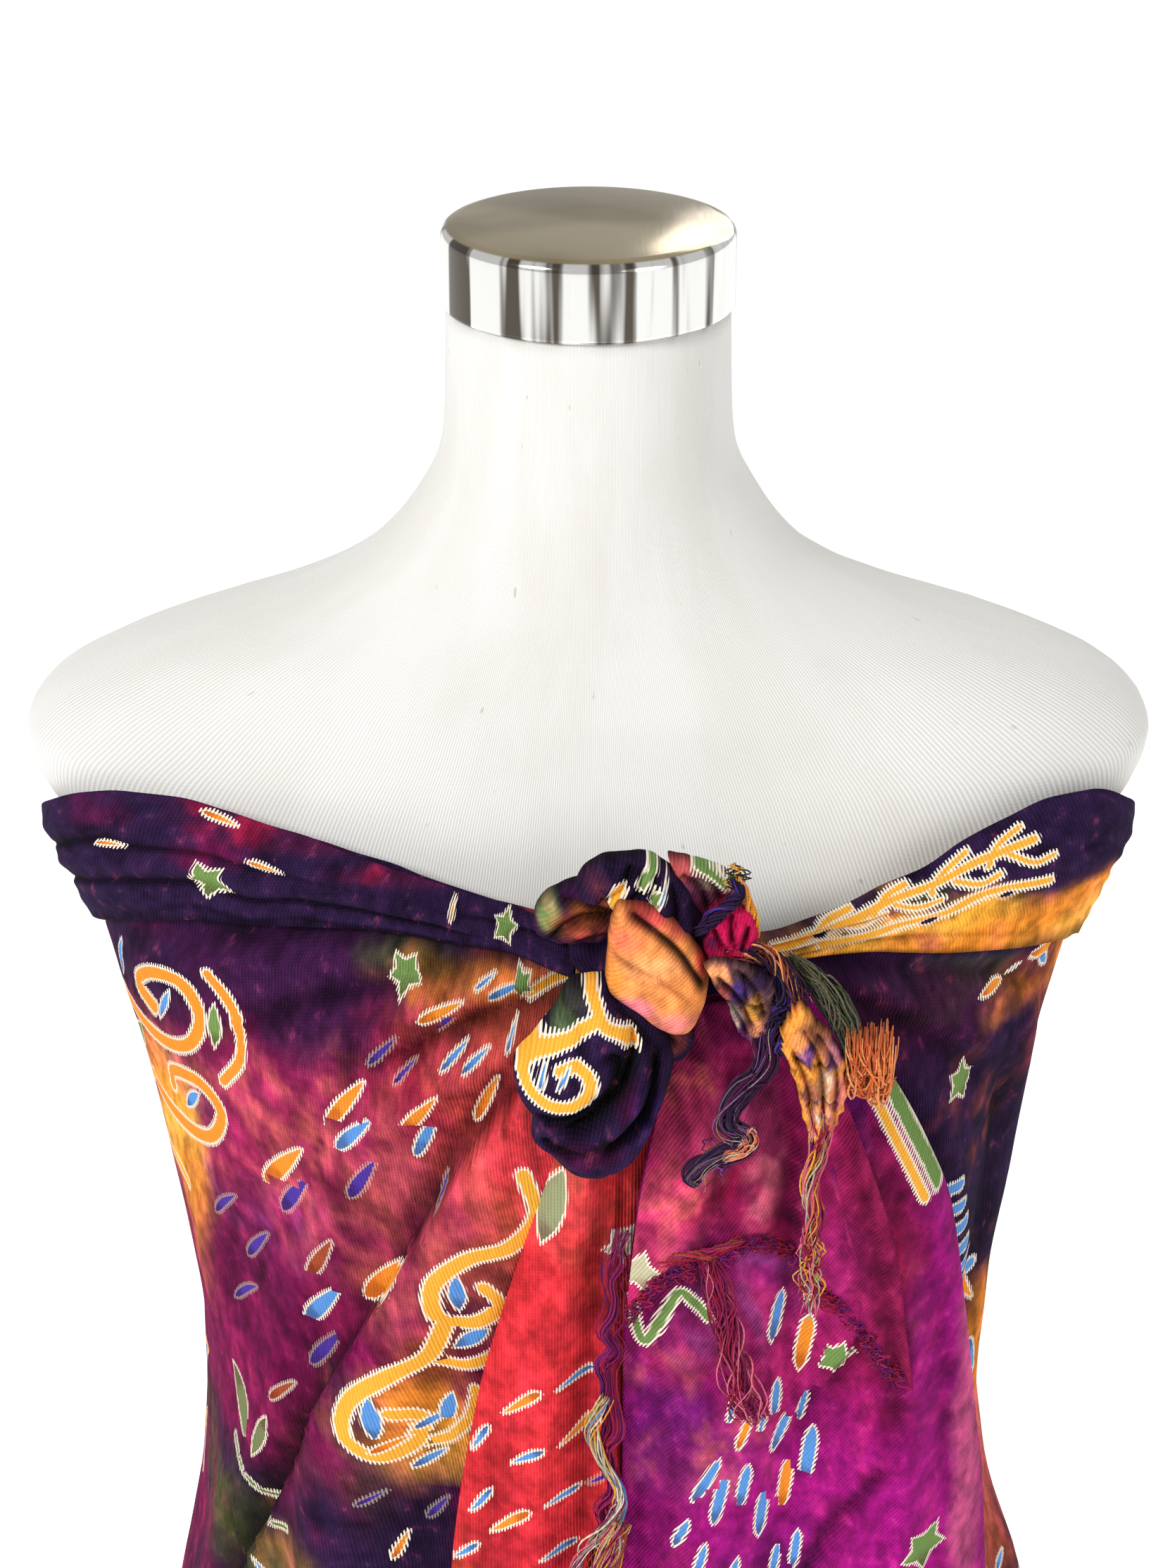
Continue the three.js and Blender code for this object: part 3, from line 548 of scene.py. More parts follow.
def yarn():
    t = Tree("frayed_yarn")
    u, v, _ = t.split(t.attribute("cloth").outputs["Vector"])
    ply = ((u * 2.2 + v * 3.4).sin() * 0.5) + 0.5
    fuzz = t.noise(t.join(u * 2.0, v * 0.8), 1.0, 3.0, 0.6)
    # painted shade in the grooves of the ply, with random fuzz tone
    shade = ply * 0.22 + fuzz * 0.5 + 0.58
    colour = t.shaded(t.attribute("dye").outputs["Color"], shade)
    t.set(Base_Color=colour, Roughness=0.9, Specular_IOR_Level=0.1, Sheen_Weight=0.06)
    t.bump(ply * 0.6 + fuzz, 0.6, 0.0003)
    return t.material


def knit_cover():
    """White ribbed knit pulled over the form, a little rubbed and marked, with painted shade
    between its ribs.
    """
    t = Tree("form_knit")
    u, v, _ = t.split(t.attribute("cloth").outputs["Vector"])
    wobble = t.noise(t.join(u * 0.01, v * 0.02), 1.0, 2.0, 0.5)
    rib = (((u + wobble * 3.0) * (2 * math.pi / 1.55)).sin() * 0.5 + 0.5) ** 1.4
    course = (v * (2 * math.pi / 1.1)).sin() * 0.5 + 0.5
    patch = t.noise(t.join(u * 0.012, v * 0.010), 1.0, 4.0, 0.6)
    speck = t.noise(t.join(u * 0.16, v * 0.13), 1.0, 2.0, 0.4)
    base = t.blend((0.83, 0.815, 0.775), (0.90, 0.895, 0.875), patch.ramp(0.35, 0.62))
    # painted shade in the grooves between the ribs
    base = t.blend((0.56, 0.545, 0.515), base, rib * 0.62 + 0.38)
    base = t.blend(base, (0.42, 0.36, 0.29), speck.ramp(0.735, 0.80) * 0.55)
    t.set(Base_Color=base, Roughness=0.82, Specular_IOR_Level=0.2, Sheen_Weight=0.05)
    t.bump(rib * 1.0 + course * 0.18 + speck * 0.2, 0.30, 0.0005)
    return t.material


def chrome():
    """Polished plate with painted reflections in its colour: bright and dark streaks round it,
    brown above.
    """
    t = Tree("polished_chrome")
    x, y, z = t.split(t.node("NewGeometry").outputs["Position"])
    _, _, up = t.split(t.node("NewGeometry").outputs["Normal"])
    angle = y.do("ARCTAN2", x)
    # painted reflection: bright and dark streaks round the side
    streak = t.noise(t.join(angle * 3.2, z * 3.0), 1.0, 3.0, 0.62)
    side = t.blend((0.86, 0.86, 0.84), (0.10, 0.085, 0.07), streak.ramp(0.47, 0.56))
    side = t.blend(side, (0.97, 0.97, 0.95), streak.ramp(0.41, 0.35))
    # painted reflection on the top: brown and mottled
    painted_reflection_mottle = t.noise(t.join(x * 9.0, y * 14.0), 1.0, 3.0, 0.5)
    top = t.blend((0.21, 0.155, 0.07), (0.43, 0.355, 0.22), painted_reflection_mottle.ramp(0.38, 0.62))
    # the top gets the painted top reflection and the side the painted streaks, by their facing
    colour = t.blend(side, top, up.ramp(0.80, 0.95))
    scratch = t.noise(t.join(x * 900.0, y * 40.0, z * 300.0), 1.0, 2.0, 0.5)
    t.set(Base_Color=colour, Metallic=1.0, Roughness=scratch * 0.10 + 0.08)
    return t.material


def painted_base():
    t = Tree("stand_steel")
    x, y, z = t.split(t.node("NewGeometry").outputs["Position"])
    turned = t.noise(t.join((x * x + y * y).root() * 900.0, z * 900.0), 1.0, 2.0, 0.5)
    wear = t.noise(t.join(x * 22.0, y * 22.0, z * 22.0), 1.0, 5.0, 0.6)
    colour = t.blend((0.60, 0.595, 0.58), (0.74, 0.735, 0.72), wear.ramp(0.4, 0.65))
    t.set(Base_Color=colour, Metallic=1.0, Roughness=turned * 0.10 + wear * 0.12 + 0.14)
    t.bump(turned, 0.08, 0.0002)
    return t.material


def pale_floor():
    t = Tree("studio_floor")
    x, y, _ = t.split(t.node("NewGeometry").outputs["Position"])
    patch = t.noise(t.join(x * 2.0, y * 2.0), 1.0, 3.0, 0.5)
    t.set(Base_Color=t.blend((0.86, 0.86, 0.855), (0.89, 0.89, 0.885), patch), Roughness=0.9,
          Specular_IOR_Level=0.1, Emission_Color=(1, 1, 0.995), Emission_Strength=0.56)
    return t.material


CLOTH_MATERIAL, YARN, KNIT = printed_cloth(), yarn(), knit_cover()
CHROME, STEEL = chrome(), painted_base()


# ---------------------------------------------------------------- meshes
def add(name, data):
    made = bpy.data.objects.new(name, data)
    bpy.context.scene.collection.objects.link(made)
    return made


def build(name, points, quads, material, replaces=(), triangles=()):
    """A smooth mesh object that rides on the root. points are millimetres."""
    mesh = bpy.data.meshes.new(name)
    quads, triangles = np.asarray(quads, int), np.asarray(triangles, int).reshape(-1, 3)
    loops = np.concatenate([quads.ravel(), triangles.ravel()]).astype(np.int32)
    starts = np.concatenate([np.arange(len(quads)) * 4,
                             4 * len(quads) + np.arange(len(triangles)) * 3])
    mesh.vertices.add(len(points))
    mesh.vertices.foreach_set("co", (np.asarray(points, float) * MM).astype(np.float32).ravel())
    mesh.loops.add(len(loops))
    mesh.loops.foreach_set("vertex_index", loops)
    mesh.polygons.add(len(starts))
    mesh.polygons.foreach_set("loop_start", starts.astype(np.int32))
    mesh.polygons.foreach_set("use_smooth", np.full(len(starts), True))
    mesh.update(calc_edges=True)
    mesh.materials.append(material)
    made = add(name, mesh)
    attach(made, "root")
    if replaces:
        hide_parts(*replaces)
    return made


def carry(made, name, values, domain="POINT"):
    """Stores a number, vector or colour (three numbers and alpha) on the points or corners."""
    values = np.asarray(values, np.float32)
    width = values.shape[1] if values.ndim > 1 else 1
    kind, key = {1: ("FLOAT", "value"), 3: ("FLOAT_VECTOR", "vector"),
                 4: ("FLOAT_COLOR", "color")}[width]
    made.data.attributes.new(name, kind, domain).data.foreach_set(key, values.ravel())


def grid_faces(rows, columns, start=0, flip=False, closed=False):
    i = np.arange(columns if closed else columns - 1)
    j = np.arange(rows - 1)[:, None]
    a = start + j * columns + i
    b = start + j * columns + (i + 1) % columns
    quads = np.stack([a, a + columns, b + columns, b], -1).reshape(-1, 4)
    return quads[:, ::-1] if flip else quads


def grid_normals(p, closed=False):
    if closed:
        across = np.roll(p, -1, 1) - np.roll(p, 1, 1)
    else:
        across = np.gradient(p, axis=1)
    n = np.cross(np.gradient(p, axis=0), across)
    return n / np.maximum(np.linalg.norm(n, axis=-1, keepdims=True), 1e-9)


def closed_grid(p):
    """Points, quads and end caps of a grid that closes on itself, all facing outward."""
    rows, columns = p.shape[:2]
    count = rows * columns
    points = np.concatenate([p.reshape(-1, 3), p[0].mean(0)[None], p[-1].mean(0)[None]])
    quads = grid_faces(rows, columns, 0, True, closed=True)
    i = np.arange(columns)
    j = (i + 1) % columns
    caps = np.concatenate([
        np.stack([np.full(columns, count), j, i], -1),
        np.stack([np.full(columns, count + 1), count - columns + i, count - columns + j], -1),
    ])
    a, b, c = (p[:-1], np.roll(p, -1, 1)[:-1], p[1:])
    volume = (np.cross(b - a, c - a) * (a - p.mean((0, 1)))).sum()
    if volume < 0:
        quads, caps = quads[:, ::-1], caps[:, ::-1]
    return points, quads, caps


def ends(values):
    """A grid's values as rows, with the two cap points added."""
    flat = values.reshape(-1, values.shape[-1])
    return np.concatenate([flat, flat[:1], flat[-1:]])


SHAPES = dict(drop=1, star=2, leaf=3, curl=4, bar=5)


def dress(made, flat, dye, lines=(), motifs=(), bias=0.0):
    """Puts dye, with any painted shade in it, drawn lines and motifs on a mesh, from each point's
    place in the cloth.
    """
    mesh = made.data
    carry(made, "cloth", np.column_stack([flat, np.full(len(flat), bias)]))
    carry(made, "dye", np.column_stack([dye, np.ones(len(flat))]))
    corner = np.empty(len(mesh.loops), np.int32)
    mesh.loops.foreach_get("vertex_index", corner)
    starts, totals = np.empty((2, len(mesh.polygons)), np.int32)
    mesh.polygons.foreach_get("loop_start", starts)
    mesh.polygons.foreach_get("loop_total", totals)
    face = np.repeat(np.arange(len(totals)), totals)
    at = flat[corner]
    middle = np.add.reduceat(at, starts) / totals[:, None]

    pieces = [(a, b, half, ink) for places, half, ink in lines
              for a, b in zip(places[:-1], places[1:])]
    first, second = np.full((2, len(middle)), FAR)
    index = np.full((2, len(middle)), -1)
    for k, (a, b, half, _) in enumerate(pieces):
        low, high = np.minimum(a, b) - 9 - half, np.maximum(a, b) + 9 + half
        near = np.flatnonzero(((middle > low) & (middle < high)).all(1))
        if not len(near):
            continue
        q = middle[near] - a
        ab = b - a
        share = np.clip(q @ ab / max(ab @ ab, 1e-9), 0, 1)
        away = np.hypot(*(q - share[:, None] * ab).T) - half
        best = away < first[near]
        at1 = near[best]
        second[at1], index[1, at1] = first[at1], index[0, at1]
        first[at1], index[0, at1] = away[best], k
        rest = near[~best]
        closer = away[~best] < second[rest]
        second[rest[closer]], index[1, rest[closer]] = away[~best][closer], k
    table = np.array([(*a, *b, half, *ink) for a, b, half, ink in pieces] + [(0,) * 8], float)
    for word, which in (("ab", 0), ("cd", 1)):
        row = table[index[which]][face]
        used = (index[which] >= 0)[face][:, None]
        start = np.where(used, row[:, 0:2] - at, 60.0)
        end = np.where(used, row[:, 2:4] - at, 61.0)
        carry(made, "seg_" + word[0], np.column_stack([start, row[:, 4]]), "CORNER")
        carry(made, "seg_" + word[1], np.column_stack([end, row[:, 4]]), "CORNER")
    row = table[index[0]][face]
    carry(made, "stroke", np.column_stack([row[:, 5:8], np.ones(len(row))]), "CORNER")

    table = np.array(list(motifs) or [(1e5, 1e5, 0, 1, 0, 0, 0, 0)], float)
    nearest, best = np.zeros(len(middle), int), np.full(len(middle), 1e9)
    for k, row in enumerate(table):
        away = np.hypot(middle[:, 0] - row[0], middle[:, 1] - row[1]) - row[3] * 0.7
        closer = away < best
        nearest[closer], best[closer] = k, away[closer]
    row = table[nearest][face]
    kind = np.where(best[face] < 12, row[:, 2], 0)
    off = np.column_stack([at[:, 0] - row[:, 0], row[:, 1] - at[:, 1], kind])
    carry(made, "motif", off, "CORNER")
    carry(made, "ink", np.column_stack([row[:, 5:8], row[:, 3]]), "CORNER")
    carry(made, "turn", row[:, 4], "CORNER")


class Cloth:
    """A sheet of printed cloth on a grid of points: rows run down it and columns across it."""

    def __init__(self, name, points, cloth, node, slot, outward, thickness=1.0, bias=0.0):
        self.name, self.p, self.c = name, points, cloth
        self.node, self.slot, self.thickness, self.bias = node, slot, thickness, bias
        normals = grid_normals(points)
        self.flip = (normals * (points - outward)).sum() < 0
        self.n = -normals if self.flip else normals
        self.x, self.y, self.z = points[..., 0], points[..., 1], points[..., 2]
        self.u, self.v = cloth[..., 0], cloth[..., 1]
        self.motifs, self.lines = [], []

    def find(self, x, z):
        """Cloth place of the point that shows at x, z from the front."""
        away = np.hypot(self.x - x, self.z - z) + np.where(self.y > 0, 900, 0)
        i, j = np.unravel_index(away.argmin(), away.shape)
        i = min(max(i, 1), away.shape[0] - 2)
        j = min(max(j, 1), away.shape[1] - 2)
        right = self.p[i, j + 1] - self.p[i, j - 1]
        down = self.p[i + 1, j] - self.p[i - 1, j]
        across = self.c[i, j + 1] - self.c[i, j - 1], self.c[i + 1, j] - self.c[i - 1, j]
        size = right[0] * down[2] - right[2] * down[0]
        if abs(size) > 1e-6:
            ox, oz = x - self.x[i, j], z - self.z[i, j]
            a = np.clip((ox * down[2] - oz * down[0]) / size, -0.7, 0.7)
            b = np.clip((oz * right[0] - ox * right[2]) / size, -0.7, 0.7)
            return self.c[i, j] + a * across[0] + b * across[1], away.min()
        return self.c[i, j], away.min()

    def motif_at(self, kind, u, v, size, turn=0.0, ink=DYES["sky"]):
        self.motifs.append((u, v, SHAPES[kind], size, math.radians(turn), *ink))

    def motif(self, kind, x, z, size, turn=0.0, ink=DYES["sky"]):
        (u, v), away = self.find(x, z)
        if away < 9:
            self.motif_at(kind, u, v, size, turn, ink)

    def drops(self, table, kind="drop"):
        """Motifs from their round end to their point: x z, x z and ink, seen from the front."""
        for ax, az, bx, bz, ink in read(table):
            (a, off), (b, off2) = self.find(ax, az), self.find(bx, bz)
            if max(off, off2) < 9:
                du, dv = b[0] - a[0], a[1] - b[1]
                self.motif_at(kind, (a[0] + b[0]) / 2, (a[1] + b[1]) / 2,
                              math.hypot(du, dv) * 0.45, math.degrees(math.atan2(-du, dv)), ink)

    def line(self, points, half, ink=DYES["orange"]):
        """A drawn line through x, z places seen from the front."""
        points = read(points)
        places = [self.find(x, z) for x, z in spline(points, 6 * len(points))]
        places = [c for c, away in places if away < 9]
        if len(places) > 2:
            self.lines.append((np.array(places), half, ink))

    def finish(self, dye):
        rows, columns = self.p.shape[:2]
        inner = self.p - self.n * self.thickness
        count = rows * columns
        faces = [grid_faces(rows, columns, 0, self.flip),
                 grid_faces(rows, columns, count, not self.flip)]
        index = np.arange(count).reshape(rows, columns)
        loop = np.concatenate([index[0], index[1:, -1], index[-1, -2::-1], index[-2:0:-1, 0]])
        after = np.roll(loop, -1)
        rim = np.stack([loop, after, after + count, loop + count], -1)
        faces.append(rim[:, ::-1] if self.flip else rim)
        points = np.concatenate([self.p.reshape(-1, 3), inner.reshape(-1, 3)])
        self.made = build(self.name, points, np.concatenate(faces), CLOTH_MATERIAL,
                          self.node)
        two = lambda a: np.concatenate([a, a])
        dress(self.made, two(self.c.reshape(-1, 2)), two(dye.reshape(-1, 3)), self.lines,
              self.motifs, self.bias)
        return self


def scatter(sheet, u_range, v_range, keep):
    """Stars, drops and leaf curls over the stretches that are out of the front view."""
    pitch = 44.0
    for u in np.arange(u_range[0] + 20, u_range[1], pitch):
        for v in np.arange(v_range[0] + 20, v_range[1], pitch):
            cu, cv = u + rng.uniform(-9, 9), v + rng.uniform(-9, 9)
            kind, lean = rng.uniform(), rng.uniform(-60, -20)
            ink = read("sky orange sky indigo")[0][rng.integers(4)]
            spare = rng.uniform(-8, 8)
            if not keep(cu, cv):
                continue
            if kind < 0.12:
                sheet.motif_at("star", cu, cv, 7.8, lean, DYES["sage"])
            elif kind < 0.76:
                sheet.motif_at("drop", cu - 9, cv + spare, 8.5, lean, ink)
                sheet.motif_at("drop", cu + 9, cv - spare, 7.5, lean - 8,
                               DYES["orange"] if kind < 0.4 else DYES["sky"])
            elif kind < 0.88:
                sheet.motif_at("curl", cu, cv, 17, lean + 20, DYES["orange"])


# ---------------------------------------------------------------- cloth shapes
def folds(side, degrees, z):
    away = np.abs(degrees)
    relief = np.zeros(np.broadcast(degrees, z).shape)
    fade = smooth(0, 60, 1345 - z) * smooth(0, 14, 180 - away)
    for row in LEFT_FOLDS if side < 0 else RIGHT_FOLDS:
        table = Table("z angle rise", [(LEVELS[k], row[3 - k], row[7 - k]) for k in range(4)])
        angle = table("angle", z)
        reach = np.where(away > angle, row[8], row[9])
        relief = relief + fade * table("rise", z) * np.exp(-(((away - angle) / reach) ** 2))
    return relief


# Folds drawn on the front: kind, height, width, reach, painted shade, x z places from the top down.
WRAP_LINES = {
    -1: """
    lap 9 2.6 0.72 30: -12 1316, -18 1303, -30 1289, -37 1278, -48 1259, -62 1229, -85 1177,
      -102 1130, -116 1091, -128 1050, -150 900, -160 760;
    valley 3.4 3.2 0.62: 4 1334, -13 1326, -38 1317, -53 1311, -76 1298;
    ridge 3.2 5.5: 2 1322, -14 1312, -34 1304, -58 1290, -92 1262;
    valley 2.4 3.5 0.45: 2 1328, -11 1316, -26 1304, -35 1291, -47 1271, -62 1240;
    ridge 2.6 5: 0 1338, -22 1331, -48 1322, -84 1308, -120 1280;
    valley 2.0 3.4 0.42: 0 1341, -30 1336, -62 1330, -104 1316, -146 1286;
    ridge 1.8 5: -8 1342, -48 1339, -92 1334, -140 1322, -172 1306;
    valley 1.4 3 0.35: -9 1343, -50 1343, -101 1341, -150 1332;
    ridge 1.8 9: -40 1306, -57 1288, -76 1262, -98 1220, -111 1170, -116 1120;
    valley 1.3 6 0.22: -44 1300, -66 1270, -84 1236, -100 1190, -108 1130;
    ridge 1.7 10: -60 1314, -90 1290, -116 1256, -138 1206, -142 1140;
    valley 1.2 7 0.2: -66 1304, -104 1268, -128 1220, -136 1160;
    ridge 3.2 9: -84 1184, -104 1146, -128 1098, -150 1020, -168 900;
    valley 3.0 5 0.5: -88 1160, -108 1120, -124 1078, -142 1000, -156 880;
    ridge 2.0 8: -50 1236, -60 1190, -74 1130, -88 1060, -100 960, -112 820;
    valley 1.8 6 0.3: -36 1240, -46 1190, -58 1120, -66 1040, -76 900""",
    1: """
    ridge 2.2 5: 52 1342, 88 1328, 118 1311, 144 1290, 156 1250;
    valley 2.0 3.4 0.4: 54 1338, 92 1320, 124 1298, 146 1268;
    ridge 1.8 4: 54 1344, 100 1336, 140 1328, 170 1318;
    valley 1.6 3 0.35: 54 1342, 98 1331, 140 1319, 166 1300;
    ridge 2.2 7: 60 1336, 92 1310, 116 1276, 132 1226, 136 1160;
    valley 1.6 5 0.3: 64 1326, 100 1290, 122 1246, 130 1190;
    ridge 3.0 5: 152 1312, 158 1270, 155 1220, 148 1160, 150 1080, 156 940;
    valley 2.6 4 0.4: 144 1300, 150 1260, 147 1210, 142 1150, 144 1060, 148 940""",
}


def gathers(x, z, reach, height, count, seed):
    """Small pleats that fan out of the knot and die away."""
    dx, dz = x - KNOT[0], z - KNOT[2] + 6
    far = np.hypot(dx, dz)
    bearing = np.arctan2(dz, dx)
    waves = np.cos(bearing * count + 2.2 * noise(seed, bearing * 2.2, far / 90))
    return height * waves * np.exp(-((far / reach) ** 2))


def wrap_sheet(side, columns, rows):
    across = np.linspace(0, 1, columns)[None, :]
    across = mix(across, across ** 2, 0.42)
    down = np.linspace(0, 1, rows)[:, None]
    down = mix(down, down ** 3, 0.80)
    rough = mix(12, BACK, across)
    hand = "left" if side < 0 else "right"
    top = TOP_EDGE(hand + "_z", rough) - np.minimum(9, TOP_EDGE(hand, rough) / 2)
    low = HEM + HEM_RISE("rise", rough)
    z = mix(top, low, down)
    edge = TUCKED[side]("x", z)
    first = side * np.degrees(np.arctan2(edge, front_depth(CLOTH, edge, z)))
    degrees = side * mix(first, BACK, across)
    base = ring(CLOTH, degrees, z, 0)
    lift = folds(side, degrees, z)
    x, y = base[..., 0], base[..., 1]
    front = smooth(30, -20, y)
    drawn, light = drawn_relief(x, z, WRAP_LINES[side])
    lift += drawn * front + gathers(x, z, 74, 1.2, 15, 21) * smooth(20, -60, y)
    loose = smooth(0, 9, 180 - np.abs(degrees))
    lift += 0.9 * fractal(41 + side, degrees / 9, z / 60, 2) * smooth(1360, 1300, z) * loose
    lift += 1.6 * noise(47 + side, degrees / 5, z / 240) * smooth(1150, 800, z) * loose
    p = ring(CLOTH, degrees, z, lift)
    start, length = (825, 585) if side < 0 else (-280, 520)
    cloth = np.stack([start + side * length * across + 0 * z, top - z + 10], -1)
    return p, cloth, degrees, mix(1, light, front)


def band_sheet(side, columns, rows):
    across = np.linspace(0, 1, columns)[None, :]
    across = mix(across, across ** 2, 0.3)
    down = np.linspace(0, 1, rows)[:, None]
    degrees = mix(2, BACK, across)
    hand = "left" if side < 0 else "right"
    height = TOP_EDGE(hand, degrees)
    z = TOP_EDGE(hand + "_z", degrees) - height * down
    swell = np.sin(math.pi * down)
    to_knot = BAND["knot_lift"] * np.exp(-((degrees / BAND["knot_reach"]) ** 2))
    drift = (0.16 * noise(60 + side, degrees / 22, 0 * z)
             + 0.05 * noise(64 + side, degrees / 6, down * 3))
    pleat, light = 0.0, 1.0
    # pleats: place down the band, depth, width, painted shade
    pleats = ("0.30 3.6 0.050 0.75, 0.62 3.2 0.045 0.65, 0.84 1.6 0.04 0.4" if side < 0 else
              "0.40 3.0 0.045 0.6, 0.58 2.0 0.035 0.45, 0.80 1.4 0.035 0.35")
    for place, depth, width, dark in read(pleats):
        away = np.abs(down + drift - place)
        present = smooth(-0.75, 0.1, noise(71 + side, degrees / 30 + place * 40, 0 * z))
        pleat = pleat - depth * np.exp(-away / width) * present
        light = light * (1 - dark * np.exp(-((away / (0.9 * width)) ** 2)) * present)
    pleat = (pleat + 0.35 * noise(75, degrees / 11, down * 9)
             + 0.35 * np.cos(2 * math.pi * (down * 6 + 3 * drift)))
    # painted shade along the band's lower edge
    light = light * mix(0.5, 1, smooth(0, 0.10, 1 - down))
    lift = BAND["lift"] + BAND["bulge"] * swell + pleat * swell + to_knot
    p = ring(CLOTH, side * degrees, z, lift)
    start = 825 if side < 0 else -295
    cloth = np.stack([start + side * 560 * across + 0 * z,
                      -60 + (height * 1.25) * down + 0 * across], -1)
    return p, cloth, degrees, light


def fall_points(fall, share_in, down, lift=0.0):
    profile = spline(fall["profile"], 220)
    t = np.linspace(0, 1, len(profile))
    at = np.interp(share_in, t, profile[:, 0])
    rise = np.interp(share_in, t, profile[:, 1])
    share = np.clip(at, 0, 1)
    top = fall["top"]("z", share)
    z = mix(top, fall["hem"]("z", share), down)
    x = mix(fall["edges"]("left", z), fall["edges"]("right", z), at)
    settled = smooth(0, 90, 1350 - z)
    widening = mix(0.45, 1, settled) * mix(1, 1.3, smooth(0, 700, 1100 - z))
    face = front_depth(FALL, x, z)
    return x, -face - rise * widening - lift, z


FALL_LINES = {
    "left": """
    ridge 1.8 5: 4 1290, -6 1240, -14 1180, -18 1120, -20 980;
    valley 1.8 3.5 0.3: 10 1280, 4 1230, 0 1180, -2 1100;
    ridge 1.6 4: 14 1290, 14 1230, 12 1150, 10 1050;
    valley 1.5 3 0.25: -2 1212, 8 1218, 18 1222;
    valley 1.2 3 0.25: -26 1200, -12 1212, 6 1216;
    valley 3.2 4 0.6: 22 1290, 24 1220, 24 1160, 26 1100, 30 980;
    valley 1.6 5 0.25: -30 1180, -34 1120, -36 1020, -38 880""",
    "right": """
    lap 4.5 2.4 0.45 34: 70 1150, 76 1179, 85 1188, 94 1208, 96 1223, 95 1238, 91 1254, 84 1282,
      76 1305;
    ridge 3.4 7: 80 1310, 92 1276, 103 1240, 111 1200, 114 1160, 116 1100, 118 960;
    valley 3.4 4.5 0.5: 88 1290, 97 1250, 103 1222, 108 1186, 108 1146;
    valley 2.8 2.6 0.6: 106 1150, 99 1139, 87 1119, 79 1099, 70 1060;
    ridge 2.6 6: 104 1150, 94 1124, 86 1096, 80 1050;
    ridge 2.2 6: 46 1326, 41 1300, 34 1272, 28 1246;
    valley 2.0 4 0.35: 50 1326, 47 1300, 43 1270, 40 1246, 36 1200;
    ridge 2.4 6: 54 1326, 58 1290, 61 1253, 62 1200, 60 1120;
    valley 2.2 4 0.4: 58 1324, 65 1290, 69 1256, 70 1200;
    ridge 2.2 5: 62 1322, 72 1286, 77 1246, 79 1200;
    ridge 1.8 7: 28 1230, 34 1180, 40 1130, 44 1060, 46 940;
    valley 1.6 5 0.22: 22 1200, 28 1150, 32 1090, 34 1000;
    ridge 2.4 6: 92 1318, 108 1284, 122 1246, 132 1200, 138 1120, 142 980;
    valley 2.0 5 0.3: 84 1316, 100 1276, 114 1236, 124 1190, 130 1110""",
}


def fall_sheet(fall, columns, rows, lines, seed):
    across = np.linspace(0, 1, columns)[None, :]
    down = np.linspace(0, 1, rows)[:, None]
    down = mix(down, down ** 3, 0.65)
    x, y, z = fall_points(fall, across + 0 * down, down + 0 * across)
    relief, light = drawn_relief(x, z, lines)
    relief += gathers(x, z, 60, 1.2, 20, seed + 3)
    relief += 0.8 * fractal(seed + 5, x / 16, z / 60, 2) * smooth(1340, 1290, z)
    slanting = fractal(seed + 6, (x + 0.4 * z) / 9, (z - 0.4 * x) / 30, 2)
    relief += 0.5 * slanting * smooth(1330, 1290, z)
    relief += 2.0 * noise(seed + 8, x / 17, z / 260) * smooth(1120, 800, z)
    return np.stack([x, y - relief, z], -1), light


# ---------------------------------------------------------------- wound cloth
rng = np.random.default_rng(20)
CENTRE = np.array((0, 0, 800.0))


